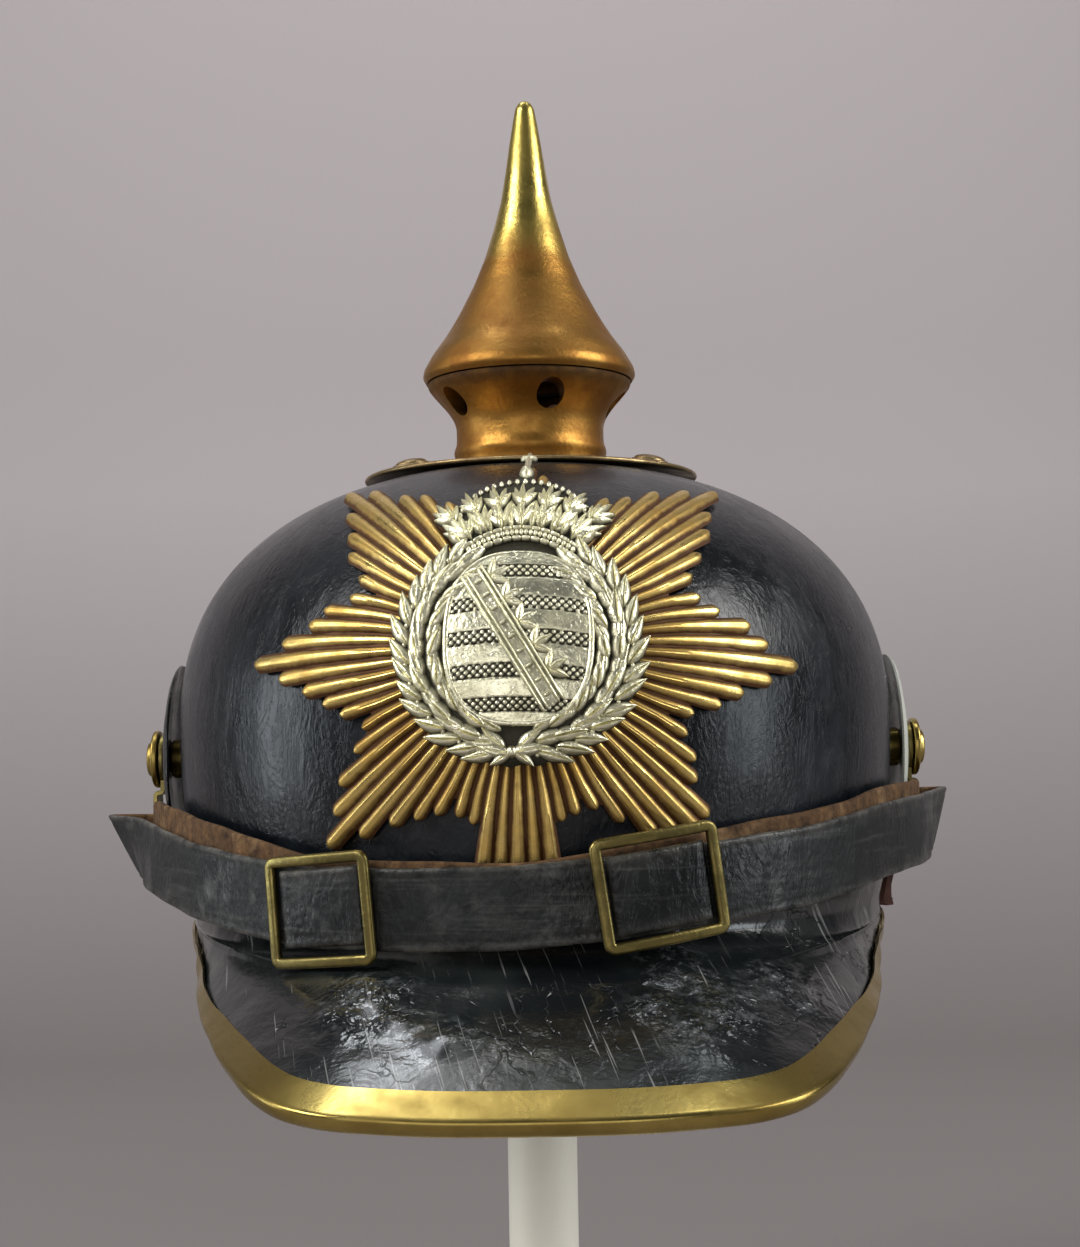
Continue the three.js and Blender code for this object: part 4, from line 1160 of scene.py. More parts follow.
@dataclass
class SpikeFittings:
    """Base plate with its studs, the spine strip behind it, the neck and the spike."""

    form: CrownForm
    plate_radius: float = 43.0
    plate_edge: float = 0.9
    plate_roll: tuple = (0.75, 0.62)
    clearance: float = 0.3
    stud_radius: float = 4.6
    stud_rise: float = 1.7
    stud_step: float = 0.5
    stud_turn: float = 52.0
    stud_inset: float = 5.4
    spine_width: float = 13.0
    spine_sheet: float = 1.0
    spine_end_drop: float = 34.0
    neck_radius: float = 19.2
    neck_height: float = 21.6
    neck_top_radius: float = 26.4
    neck_bore: float = 17.8
    sides: int = 120
    bead: float = 0.75
    vent_radius: float = 3.5
    vent_turn: float = 14.0
    vents: int = 5
    vent_below_top: float = 4.2
    drill_ends: tuple = (8.0, 34.0)
    neck_crease: float = 32.0
    spike_radius: float = 27.6
    spike_height: float = 73.4
    spike_shape: tuple = (
        (0.0, 0.965), (0.018, 1.0), (0.045, 0.985), (0.1, 0.9), (0.147, 0.804), (0.197, 0.717),
        (0.246, 0.641), (0.345, 0.504), (0.443, 0.395), (0.542, 0.312), (0.64, 0.239), (0.739, 0.192),
        (0.837, 0.152), (0.93, 0.11), (0.97, 0.09), (0.99, 0.062), (0.998, 0.03), (1.0, 0.002),
    )
    spike_runs: tuple = ((0, 0.06, 9), (0.08, 0.94, 64), (0.95, 1, 14))
    spike_hollow: tuple = ((NEAR_AXIS, 33), (11, 10), (16.8, 2), (16.8, 0.2), (25.4, 0.2))

    @property
    def plate_top(self) -> float:
        """Height of the plate's middle."""
        return self.form.top_z + self.clearance + self.plate_edge

    @property
    def neck_bottom(self) -> float:
        """Height of the neck's foot."""
        return self.plate_top + self.clearance

    def plate_height(self, radius: Array) -> Array:
        """Height of the plate's upper face at a distance from the axis: nearly the crown's own curve."""
        inner = self.plate_radius * 0.55
        edge = self.form.middle_z(self.plate_radius - 1) + self.clearance + self.plate_edge
        share = np.clip((radius - inner) / (self.plate_radius - 1 - inner), 0, 1)
        return self.plate_top + (edge - self.plate_top) * share ** 1.25

    def plate(self) -> None:
        """A shallow dish with a bright rolled rim."""
        r = self.plate_radius
        out = np.linspace(0.05, r - 1.5, 26)
        bend = np.linspace(0.5 * math.pi, -0.5 * math.pi, 9)
        bottom = self.form.middle_z(r - 1) + self.clearance
        wide, high = self.plate_roll
        rim = np.stack([r - wide + wide * np.cos(bend), bottom + 0.68 + high * np.sin(bend)], 1)
        back = np.linspace(r - 1.5, 0.05, 16)
        seat = np.minimum(self.form.middle_z(back) + self.clearance + 0.1, self.plate_top - 0.3)
        profile = np.vstack([np.stack([out, self.plate_height(out)], 1), rim, np.stack([back, seat], 1)])
        dress(mesh_object("base_plate_dish", [turned(profile, 160)]), PLATE_BRASS, "base_plate")

    def studs(self) -> None:
        """Four domed studs on the plate, each with a small foot ring."""
        radius, r, step = self.plate_radius - self.stud_inset, self.stud_radius, self.stud_step
        bend = np.linspace(0, math.pi / 2, 10)
        dome = np.stack([0.84 * r * np.cos(bend), step + (self.stud_rise - step) * np.sin(bend)], 1)
        foot = np.array([[NEAR_AXIS, 0.0], [r, 0.0], [r, 0.3], [0.9 * r, step]])
        profile = np.vstack([foot[:1], rounded(foot[1:], 0.2), dome])
        near, far = self.plate_height(np.array([radius - r, radius + r]))
        slope = (near - far) / (2 * r)
        seat = (near + far) / 2 + self.clearance
        for i, side in enumerate((1, -1)):
            for j, end in enumerate((-1, 1)):
                loft = turned(profile, 40)
                turn = math.radians(self.stud_turn)
                way = np.array([side * math.sin(turn), end * math.cos(turn)])
                loft.rings[..., 2] += seat - slope * (loft.rings[..., :2] @ way)
                loft.rings[..., :2] += radius * way
                number = 1 + i * 2 + j
                dress(mesh_object(f"base_stud_dome_{number}", [loft]), PLATE_BRASS, f"base_stud_{number}")

    def spine(self) -> None:
        """A crowned strip down the back of the crown, with rolled edges and a round end."""
        f = self.form
        start = float(f.middle_z(self.plate_radius + 1))
        last = f.widest_z - self.spine_end_drop
        climb = np.linspace(math.asin(((start - f.widest_z) / f.dome_rise) ** (f.roundness / 2)), 0, 40)
        dome = f.widest_z + f.dome_rise * np.sin(climb) ** (2 / f.roundness)
        z = np.concatenate([dome, np.linspace(f.widest_z, last, 26)[1:]])
        end = np.clip((z - last) / (self.spine_width / 2), 0, 1)
        half = self.spine_width / 2 * round_end(end, 0.004)
        u = np.linspace(-1, 1, 13)
        seat = self.clearance + 0.3
        crown = 0.72 + 0.28 * np.abs(u) ** 6 + 0.2 * np.cos(0.5 * math.pi * u)
        upper = f.over(180.0, z[:, None], (seat + self.spine_sheet * crown)[None])
        lower = f.over(180.0, z[:, None], np.full((1, len(u)), seat))
        upper[..., 0] = u[None] * half[:, None]
        lower[..., 0] = u[None, ::-1] * half[:, None]
        strip = Loft(np.concatenate([upper, lower], 1))
        dress(mesh_object("rear_spine_strip", [strip]), YELLOW_BRASS, "rear_spine")

    def neck(self) -> None:
        """The waisted neck: a bead at its foot, a flare under the spike, and round vents cut through."""
        bottom, height = self.neck_bottom, self.neck_height
        share = np.linspace(0, 1, 34)
        waist = smooth_step(share, 0.42, 1.12) * 1.16
        flare = (self.neck_top_radius - self.neck_radius) * np.clip(waist, 0, 1) ** 1.15
        radius = self.neck_radius - 0.15 + flare + self.bead * hump(share, 0.17, 0.075)
        outside = np.stack([radius, bottom + height * share], 1)
        inside = np.array([[self.neck_bore, bottom + height], [self.neck_bore, bottom]])
        # Painted shade: the groove mark darkens the top of the flare, under the spike's rim, and the bore.
        shade = np.concatenate([0.75 * smooth_step(share, 0.72, 1.0), np.ones(2)])
        body = turned(np.vstack([outside, inside]), self.sides, True, groove=shade)
        wall = mesh_object("spike_neck_flare", [body])
        cutters = []
        for i in range(self.vents):
            turn = math.radians(self.vent_turn + 360 / self.vents * i)
            drill = turned(np.array([[self.vent_radius, end] for end in self.drill_ends]), 40)
            x, y, z = np.moveaxis(drill.rings, -1, 0)
            middle = bottom + height - self.vent_below_top - self.vent_radius / 2
            out = np.array([math.sin(turn), -math.cos(turn)])
            side = np.array([math.cos(turn), math.sin(turn)])
            drill.rings = np.stack([z * out[0] + x * side[0], z * out[1] + x * side[1], y + middle], -1)
            cutters.append(drill)
        drills = mesh_object("vent_drills", cutters)
        cut = wall.modifiers.new("vents", "BOOLEAN")
        cut.object, cut.operation, cut.solver = drills, "DIFFERENCE", "EXACT"
        bpy.context.view_layer.update()
        shape = bpy.data.meshes.new_from_object(wall.evaluated_get(bpy.context.evaluated_depsgraph_get()))
        wall.modifiers.clear()
        wall.data = shape
        bpy.data.objects.remove(drills)
        shape.shade_smooth()
        shape.set_sharp_from_angle(angle=math.radians(self.neck_crease))
        dress(wall, SPIKE_BRASS, "spike_neck")

    def spike(self) -> None:
        """The spike: a table of radii read along its height, a rolled rim and a hollow underneath."""
        bottom = self.neck_bottom + self.neck_height + self.clearance
        share = np.concatenate([np.linspace(*run) for run in self.spike_runs])
        radius = self.spike_radius * read_rows(self.spike_shape, share, 1, 0.012)
        radius[-1] = NEAR_AXIS
        outside = np.stack([radius, bottom + self.spike_height * share], 1)
        inside = np.array(self.spike_hollow) + (0, bottom)
        climb = np.concatenate([np.zeros(len(inside)), share])
        loft = turned(np.vstack([inside, outside]), self.sides, polish=smooth_step(climb, 0.2, 0.76))
        dress(mesh_object("spike_shell", [loft]), SPIKE_BRASS, "spike_cone")

    def build(self) -> None:
        """All the pieces on the helmet's top."""
        self.plate()
        self.studs()
        self.spine()
        self.neck()
        self.spike()


# The badge, laid out flat and bent over the crown's front

@dataclass(frozen=True)
class BadgeFrame:
    """Carries flat badge sizes onto the crown's front."""

    form: CrownForm
    shift: float = -2.8
    height: float = 58.3
    turn: float = -1.2
    lean: float = 6.0
    bend: float = 96.0

    def axes(self) -> tuple[Array, Array, Array, Array]:
        """Seat, outward, right and up directions."""
        f = self.form
        z = f.rim_z + self.height
        across = float(f.axes(z)[0])
        seat = f.over(math.degrees(math.asin(self.shift / across)), z, 0.0)
        out = f.normals(seat)
        out = unit(np.array([out[0], out[1], 0.0]))
        out = unit(np.array([out[0], out[1], math.tan(math.radians(self.lean))]))
        level = unit(np.array([-out[1], out[0], 0.0]))
        spin = math.radians(self.turn)
        right = level * math.cos(spin) + np.cross(out, level) * math.sin(spin)
        return seat, out, right, np.cross(out, right)

    def over(self, across: Array, up: Array, lift: Array | float) -> Array:
        """Points over the crown's front from flat sizes.

        The flat reach r is drawn in to bend sin(r / bend), the point slides along the
        outward direction until it meets the skin, found by halving, and is then lifted
        along the skin's normal.

        Args:
            across: Flat distance to the right of the seat.
            up: Flat distance over the seat.
            lift: Height over the skin.

        Returns:
            Points of the same shape, with a last axis of three.
        """
        across, up, lift = np.broadcast_arrays(np.asarray(across, float), up, lift)
        seat, out, right, rise = self.axes()
        reach = np.hypot(across, up)
        chord = np.where(reach > 1e-9, self.bend * np.sin(reach / self.bend) / np.maximum(reach, 1e-9), 1.0)
        flat = seat + (across * chord)[..., None] * right + (up * chord)[..., None] * rise
        low = np.full(across.shape, -self.form.half_length)
        high = np.full(across.shape, self.form.half_width / 2)
        for _ in range(34):
            middle = (low + high) / 2
            beyond = self.form.side(flat + middle[..., None] * out) > 0
            high, low = np.where(beyond, middle, high), np.where(beyond, low, middle)
        point = flat + low[..., None] * out
        return point + self.form.normals(point) * lift[..., None]

    def loft(self, flat: Array, looped: bool = False, **marks: Array) -> Loft:
        """A loft from flat points whose last axis is across, up and lift."""
        return Loft(self.over(flat[..., 0], flat[..., 1], flat[..., 2]), looped, marks)


def ridge_bars(
    line: Array, half: Array, rise: Array, base: Array | float,
    power: float, crease: float = 0.0,
) -> tuple[Array, Array]:
    """Raised bars or leaves along flat centre lines.

    Across a bar the height is base + rise (1 - |u|^power - crease exp(-(u / rib)^2)), u from -1 to 1.

    Args:
        line: Centre lines, shaped (bars, stations, 2).
        half: Half widths, shaped (bars, stations).
        rise: Heights of the ridge over the base, shaped (bars, stations).
        base: Height of the bars' edges, one for all or shaped (bars, stations).
        power: Fullness of the section.
        crease: Depth of a groove along the middle, as a share of the rise.

    Returns:
        Flat points (bars, stations, ring, 3) and the mark "groove", 0 on the ridge and 1 at the edges.
    """
    across = to_right(unit(np.gradient(line, axis=1)))
    u = np.array([-1, -0.86, -0.66, -0.42, -0.18, 0.0, 0.18, 0.42, 0.66, 0.86, 1.0])
    rib = crease * hump(u, 0.0, RIB_WIDTH)
    crown = 1 - np.abs(u) ** power - rib
    upper = line[:, :, None] + across[:, :, None] * (half[..., None] * u)[..., None]
    base = np.broadcast_to(base, half.shape)[..., None]
    lift = base + rise[..., None] * crown
    lower = upper[:, :, [-2, 1]]
    points = np.concatenate([upper, lower], 2)
    low = np.broadcast_to(base - 0.35, lift.shape[:2] + (2,))
    groove = np.broadcast_to(np.abs(u) ** 1.3 + 0.8 * rib, lift.shape)
    marks = np.concatenate([groove, np.ones(low.shape)], 2)
    return np.concatenate([points, np.concatenate([lift, low], 2)[..., None]], -1), marks


@dataclass
class Star:
    """The rayed star: a thin backing plate and rounded rays, high and low by turns."""

    badge: BadgeFrame
    points: tuple = (0.75, 0.99, 0.96, 0.93, 0.80, 0.93, 0.96, 0.99)
    reach: float = 64.0
    per_point: int = 9
    pitch: float = 5.0
    lengths: tuple = (1.0, 0.89, 0.785, 0.70, 0.63)
    foot_lengths: tuple = (1.0, 0.98, 0.95, 0.73, 0.69)
    width: float = 4.3
    start: float = 15.0
    base_lift: float = 1.3
    ray_rise: float = 1.5
    least: float = 35.5
    uneven: float = 1.5
    low_rise: float = 0.68
    low_width: float = 0.9
    squeeze: float = 0.22
    squeeze_start: float = 30.0
    squeeze_span: float = 34.0
    tip: float = 2.0
    valley: float = 33.0
    seed: int = 11

    def rays(self) -> Loft:
        """Rays whose turn is k 45 + j pitch (1 - squeeze t), t growing outwards, each with a round tip."""
        draw = np.random.default_rng(self.seed)
        k, j = np.meshgrid(np.arange(8), np.arange(self.per_point) - self.per_point // 2, indexing="ij")
        k, j = k.ravel(), j.ravel()
        longest = self.reach * np.array(self.points)[k]
        away = np.abs(j)
        share = np.where(k == 4, np.array(self.foot_lengths)[away], np.array(self.lengths)[away])
        length = np.maximum(longest * share, self.least) + draw.uniform(-self.uneven, self.uneven, len(k))
        length = np.where(j == 0, longest, length)
        odd = (away % 2 == 1)[:, None]
        last = np.sin(np.linspace(0.15, math.pi / 2, 8))
        s = np.concatenate([np.linspace(0, 0.93, 18), 1 - 0.07 * (1 - last)])
        r = self.start + (length - self.start)[:, None] * s
        spread = 1 - self.squeeze * np.clip((r - self.squeeze_start) / self.squeeze_span, 0, 1)
        turn = np.radians(k * 45)[:, None] + np.radians(j * self.pitch)[:, None] * spread
        line = np.stack([r * np.sin(turn), r * np.cos(turn)], -1)
        arc = r * math.radians(self.pitch) / 2
        half = np.minimum(arc, self.width / 2) * np.where(odd, self.low_width, 1.0)
        ending = round_end(np.clip((length[:, None] - r) / self.tip, 0, 1), 0.01)
        rise = self.ray_rise * np.where(odd, self.low_rise, 1.0) * (0.35 + 0.65 * ending)
        flat, groove = ridge_bars(line, half * ending, rise, self.base_lift, 1.1, 0.3)
        # Painted shade: the groove mark darkens each ray's flanks, with some grime.
        return self.badge.loft(flat, groove=groove ** 0.66)

    def backing(self) -> Loft:
        """A plate whose reach falls from each point to the valleys beside it."""
        turn = np.radians(np.linspace(0, 360, 256, endpoint=False))
        eighths = np.linspace(0, 8, 256, endpoint=False)
        nearest = np.round(eighths)
        share = np.array(self.points)[nearest.astype(int) % 8]
        away = np.abs(eighths - nearest) * 2
        edge = self.reach * share * 0.84
        reach = edge + (self.valley - edge) * away ** 0.7
        s = np.array([0.02, 0.2, 0.4, 0.6, 0.8, 0.93, 1.0, 1.0, 0.93, 0.8, 0.6, 0.4, 0.2, 0.02])
        lift = np.array([1.55] * 6 + [1.35] + [0.9] * 7)
        r = s[:, None] * reach
        flat = np.stack([r * np.sin(turn), r * np.cos(turn), lift[:, None] * np.ones(256)], -1)
        # Painted shade: the whole backing carries a groove mark above 1, so the gaps between the rays are
        # painted dark.
        return self.badge.loft(flat, groove=np.full(flat.shape[:2], 1.3))

    def build(self) -> None:
        """Backing and rays as one piece."""
        dress(mesh_object("star_rays", [self.backing(), self.rays()], 50), STAR_BRASS, "star_plate")


@dataclass
class Arms:
    """The silver overlay: shield, laurel wreath, crown and cross, in flat badge sizes.

    threes holds the turn, shift and size of the leaves at each step of a branch; bow holds
    leaves as the method leaves reads them; fan holds the turn and size of a crest leaf.
    """

    badge: BadgeFrame
    ground: float = 3.05
    top: float = 3.9
    shield_half: float = 14.0
    shield_low: float = -15.1
    shield_high: float = 18.2
    shield_dome: float = 0.55
    shield_power: float = 2.5
    bar_pitch: float = 6.45
    bar_start: float = 0.6
    bar_arch: float = 0.9
    diamond: float = 1.5
    wreath_x: float = 19.4
    wreath_y: float = 19.2
    plate_x: float = 23.9
    plate_y: float = 23.7
    scallops: int = 26
    scallop: float = 0.018
    leaf_length: float = 7.2
    leaf_half: float = 1.7
    leaf_rise: float = 1.45
    leaf_step: float = 0.4
    threes: tuple = ((27, 2.0, 1.0), (-24, -2.1, 0.95), (1, 0.1, 1.08))
    bow: tuple = (
        (-1.0, -21.0, 80, 7.5, 1.7, 1.5), (-1.0, -21.0, -80, 7.5, 1.7, 1.5),
        (-0.8, -20.5, 128, 5.2, 1.3, 1.3), (-1.2, -20.5, -128, 5.2, 1.3, 1.3),
        (0.2, -20.0, 48, 6.5, 1.4, 1.4), (-2.2, -20.0, -48, 6.5, 1.4, 1.4),
    )
    bow_knot: tuple = (-1.0, -20.8)
    fan: tuple = ((-36, 0.72), (-17, 0.9), (0, 1.06), (17, 0.9), (36, 0.72))
    crest_right: tuple = (
        (1.0, 45.4), (1.8, 38.4), (5.4, 36.8), (9.4, 34.6), (12.3, 31.4), (13.6, 26.6), (12.2, 19.6),
    )
    crest_foot: tuple = (0, 21.4)
    cross: tuple = ((0, 42.5, 0, 49.8), (-1.9, 47.4, 1.9, 47.4))
    rim_radius: float = 0.62
    rail_shifts: tuple = (-2.15, -1.25, 1.25, 2.15)
    band_start: tuple = (-9.6, 14.6)
    band_end: tuple = (6.9, -11.6)
    seed: int = 5

    @property
    def shield_middle(self) -> float:
        """Flat height of the shield's middle."""
        return (self.shield_high + self.shield_low) / 2

    @property
    def shield_reach(self) -> float:
        """Half the shield's height."""
        return (self.shield_high - self.shield_low) / 2

    def plate(self, outline: Array, low: float, high: float, dome: float = 0.0) -> Loft:
        """A flat plate with a rounded edge from an outline of rows around the origin or its own middle.

        Args:
            outline: Rows of across and up.
            low: Lift of its underside.
            high: Lift of its upper face at the edge.
            dome: How much higher the middle is.

        Returns:
            The plate, with its whole face marked as a groove, so that it is painted dark as shade between the
            raised parts, with some grime.
        """
        middle = outline.mean(0)
        s = np.array([0.01, 0.25, 0.5, 0.75, 0.92, 0.99, 1.0, 0.99, 0.75, 0.5, 0.25, 0.01])
        lift = np.array([high] * 5 + [high - 0.12, (low + high) / 2, low + 0.1] + [low] * 4)
        lift[:5] += dome * (1 - s[:5] ** 2)
        points = middle + (outline - middle) * s[:, None, None]
        flat = np.concatenate([points, np.broadcast_to(lift[:, None, None], points.shape[:2] + (1,))], -1)
        return self.badge.loft(flat, groove=np.full(flat.shape[:2], 1.1))

    def shield(self) -> Loft:
        """A domed shield crossed by arched bars; every other bar is cut into small diamonds."""
        rows, cols = 170, 150
        v = np.sin(np.linspace(-0.5, 0.5, rows) * math.pi * 0.985)
        y = self.shield_middle + self.shield_reach * v
        half = self.shield_half * (1 - np.abs(v) ** self.shield_power) ** (1 / self.shield_power)
        u = np.linspace(-1, 1, cols)
        x = u[None] * half[:, None]
        y = np.broadcast_to(y[:, None], x.shape)
        arch = y - self.bar_arch * (1 - (x / self.shield_half) ** 2)
        wave = np.cos(2 * math.pi * (arch - self.bar_start) / self.bar_pitch)
        cut = smooth_step(wave, 0.15, 0.45)
        slopes = [np.abs(np.sin(math.pi * way / self.diamond)) for way in (x + arch, x - arch)]
        diamonds = slopes[0] * slopes[1]
        edge = hump(wave, 0.3, 0.16)
        relief = 0.22 * (1 - cut) + 0.42 * cut * diamonds ** 0.7 - 0.2 * edge
        lift = self.top + 0.5 + self.swell(x, y) + relief
        # Painted shade: the groove mark darkens the cut bars between the diamonds and along the bar edges.
        groove = 0.18 + cut * (0.95 - 1.05 * diamonds ** 0.8) + 0.55 * edge
        low = np.full((rows, 2), self.top - 0.3)
        flat = np.stack([
            np.concatenate([x, x[:, [-1, 0]]], 1), np.concatenate([y, y[:, :2]], 1),
            np.concatenate([lift, low], 1),
        ], -1)
        return self.badge.loft(flat, groove=np.concatenate([groove, np.ones_like(low)], 1))

    def swell(self, x: Array, y: Array) -> Array:
        """Height of the shield's dome over its edge, falling with the squares of both distances."""
        up = (y - self.shield_middle) / self.shield_reach
        return self.shield_dome * (1 - (x / self.shield_half) ** 2 - 0.6 * up ** 2)

    def bars(
        self, ends: list[tuple] | tuple, half: float, rise: float, base: float,
        power: float = 2.0, domed: bool = False,
    ) -> Loft:
        """Straight round-ended bars between flat points (x0, y0, x1, y1), on the shield's dome if asked."""
        rows = np.array(ends, float)
        s = np.sin(np.linspace(-0.5, 0.5, 14) * math.pi) * 0.5 + 0.5
        line = rows[:, None, :2] * (1 - s[:, None]) + rows[:, None, 2:] * s[:, None]
        length = np.linalg.norm(rows[:, 2:] - rows[:, :2], axis=1)[:, None]
        ending = round_end(np.clip(np.minimum(s, 1 - s) * length / half, 0, 1), 0.02)
        if domed:
            base = base + self.swell(line[..., 0], line[..., 1])
        flat, groove = ridge_bars(line, half * ending, rise * ending, base, power)
        return self.badge.loft(flat, groove=groove * 0.7)

    def leaves(self, rows: Array, base: float, crease: float = 0.35) -> Loft:
        """Pointed leaves.

        Args:
            rows: For each leaf its root across and up, its direction in degrees clockwise
                from up, its length, half width and rise.
            base: Lift of the leaves' edges.
            crease: Depth of the midrib groove.

        Returns:
            Leaves whose half width is w sin(pi s^0.75)^0.85 and whose line curls a little.
        """
        s = np.linspace(0, 1, 12)
        x, y, way, length, half, rise = (rows[:, i:i + 1] for i in range(6))
        bend = np.radians(way + 14 * (s - 0.5))
        step = np.diff(s, prepend=0)
        along, up = (np.cumsum(length * step * way, 1) for way in (np.sin(bend), np.cos(bend)))
        line = np.stack([x + along, y + up], -1)
        shape = np.sin(math.pi * np.clip(s, 0.012, 0.988) ** 0.75) ** 0.85
        lift = rise * (0.3 + 0.7 * np.sin(math.pi * np.clip(s, 0, 1) ** 0.6) ** 0.7)
        flat, groove = ridge_bars(line, half * shape, lift, base, 1.8, crease)
        return self.badge.loft(flat, groove=groove * 0.9)

    def beads(self, centres: Array, radius: Array | float, base: float) -> Loft:
        """Small round beads: half balls on flat centres."""
        centres = np.asarray(centres, float)
        radius = np.broadcast_to(radius, len(centres))
        s = np.linspace(-0.97, 0.97, 7)
        line = centres[:, None] + np.stack([np.zeros_like(s), s], -1)[None] * radius[:, None, None]
        size = np.sqrt(1 - s ** 2)[None] * radius[:, None]
        flat, groove = ridge_bars(line, size, size * 1.1, base, 2.2)
        return self.badge.loft(flat, groove=groove * 0.8)

    def wreath(self) -> list[Loft]:
        """Two laurel branches from the bow at the bottom up to the crown: threes of leaves and berries."""
        draw = np.random.default_rng(self.seed)
        rows, berries = [], []
        for side in (-1, 1):
            for n, turn in enumerate(np.linspace(170, 40, 14)):
                a = math.radians(turn)
                x, y = side * self.wreath_x * math.sin(a), self.wreath_y * math.cos(a) + 0.3
                way = -side * (180 - turn) + side * 90
                for splay, shift, size in self.threes:
                    out = np.array([side * math.sin(a), math.cos(a)]) * shift
                    heading = way + side * splay + draw.uniform(-6, 6)
                    length = self.leaf_length * size * draw.uniform(0.92, 1.08)
                    rise = self.leaf_rise + self.leaf_step * (n % 2)
                    rows.append([x + out[0], y + out[1], heading, length, self.leaf_half * size, rise])
                berries.append([x + side * 2.9 * math.sin(a), y + 2.9 * math.cos(a)])
        ring = np.linspace(0, 2 * math.pi, 120, endpoint=False)
        outline = np.stack([self.plate_x * np.sin(ring), self.plate_y * np.cos(ring)], 1)
        outline *= (1 + self.scallop * np.sin(self.scallops * ring))[:, None]
        return [
            self.plate(outline, self.ground, self.top),
            self.leaves(np.array(rows), self.top - 0.15, 0.55),
            self.leaves(np.array(self.bow), self.top + 0.1),
            self.beads(np.array(berries), 0.55, self.top + 0.1),
            self.beads(np.array([self.bow_knot]), 1.3, self.top + 0.3),
        ]

    def shield_trim(self) -> list[Loft]:
        """Raised rim of the shield, and the diagonal band with its rails, studs and leaf sprigs."""
        ring = np.linspace(0, 2 * math.pi, 90, endpoint=False)
        x, y = (np.sign(way) * np.abs(way) ** (2 / self.shield_power) for way in (np.sin(ring), np.cos(ring)))
        outline = np.stack([self.shield_half * x, self.shield_middle + self.shield_reach * y], 1)
        path = round_path(outline, 120, True)
        bend = np.linspace(0, 2 * math.pi, 10, endpoint=False)
        round_x, round_y = self.rim_radius * np.cos(bend), self.rim_radius * np.sin(bend)
        flat = np.concatenate([
            path[:, None] + to_right(loop_ways(path))[:, None] * round_x[None, :, None],
            np.broadcast_to((self.top + 0.45 + round_y)[None, :, None], (120, 10, 1)),
        ], -1)
        rim = self.badge.loft(flat, True, groove=np.full(flat.shape[:2], 0.12))
        start, end = np.array(self.band_start), np.array(self.band_end)
        side = -to_right(unit(end - start))
        lift = self.top + 0.62
        dark = self.bars([(*start, *end)], 2.6, 0.18, lift, 8.0, True)
        dark.marks["groove"][:] = 0.5
        rails = [(*(start + side * shift), *(end + side * shift)) for shift in self.rail_shifts]
        studs = start + (end - start) * np.linspace(0.1, 0.92, 9)[:, None]
        crossed = [(*(p - side * 0.75), *(p + side * 0.75)) for p in studs]
        sprigs = []
        for share in np.linspace(0.12, 0.8, 5):
            at = start + (end - start) * share + side * 2.4
            base_way = math.degrees(math.atan2(side[0], side[1]))
            sprigs += [[*at, base_way + d, 4.3, 1.1, 1.25] for d in (-48, 0, 48)]
        return [
            rim,
            dark,
            self.bars(rails, 0.4, 0.8, lift + 0.1, 2.0, True),
            self.bars(crossed, 0.42, 0.5, lift + 0.15, 2.0, True),
            self.leaves(np.array(sprigs), lift + 0.25, 0.3),
        ]

    def band_arc(self, rise: float, half: float) -> Array:
        """Points along the crown's band, which sinks with the square of the distance from its middle."""
        share = np.linspace(-1, 1, 25)
        return np.stack([half * share, rise - 4.6 * share ** 2], 1)

    def rail(self, rise: float, half: float, high: float) -> Loft:
        """A rail along the crown's band, as a chain of short bars."""
        path = self.band_arc(rise, half)
        return self.bars([(*a, *b) for a, b in zip(path[:-1:2], path[2::2])], 0.5, high, self.top + 0.4)

    def crest(self) -> list[Loft]:
        """The crown: a band with two rails and beads, fanned leaves, a pearled arch, orb and cross."""
        right = np.array(self.crest_right)
        outline = round_path(np.vstack([right[::-1] * (-1, 1), right, [self.crest_foot]]), 110, True, 2)
        draw = np.random.default_rng(self.seed + 1)
        rows = []
        for x, lean in zip(np.linspace(-10.4, 10.4, 7), np.linspace(-42, 42, 7)):
            root = np.array([x, 25.0 - 0.024 * x * x])
            way = np.array([math.sin(math.radians(lean)), math.cos(math.radians(lean))])
            for splay, size in self.fan:
                heading = lean + splay + draw.uniform(-5, 5)
                rows.append([*root, heading, 8.0 * size, 1.15, 1.5 + 0.3 * (splay == 0)])
                rows.append([*(root + way * 4.9), heading, 6.6 * size, 0.95, 1.9 + 0.3 * (splay == 0)])
        for x, lean in zip(np.linspace(-11.9, 11.9, 13), np.linspace(-46, 46, 13)):
            rows.append([x, 24.4 - 0.026 * x * x, lean, 4.6, 0.95, 2.2])
        turn = np.radians(np.linspace(-84, 84, 23))
        pearls = np.stack([12.9 * np.sin(turn), 26.8 + 10.6 * np.cos(turn)], 1)
        return [
            self.plate(outline, self.ground, self.top - 0.1, 0.3),
            self.rail(24.2, 11.5, 0.85),
            self.rail(21.9, 11.2, 0.75),
            self.beads(self.band_arc(23.05, 11.2)[1:-1], 0.62, self.top + 0.6),
            self.leaves(np.array(rows), self.top - 0.1, 0.3),
            self.beads(pearls, 0.62, self.top + 0.2),
            self.beads(np.array([[0.0, 40.6]]), 1.7, self.top - 0.1),
            self.bars(self.cross, 0.75, 0.8, self.top - 0.3),
        ]

    def build(self) -> None:
        """The whole overlay as one piece."""
        lofts = [*self.wreath(), self.shield(), *self.shield_trim(), *self.crest()]
        dress(mesh_object("arms_relief", lofts, 60), PALE_SILVER, "arms_overlay")


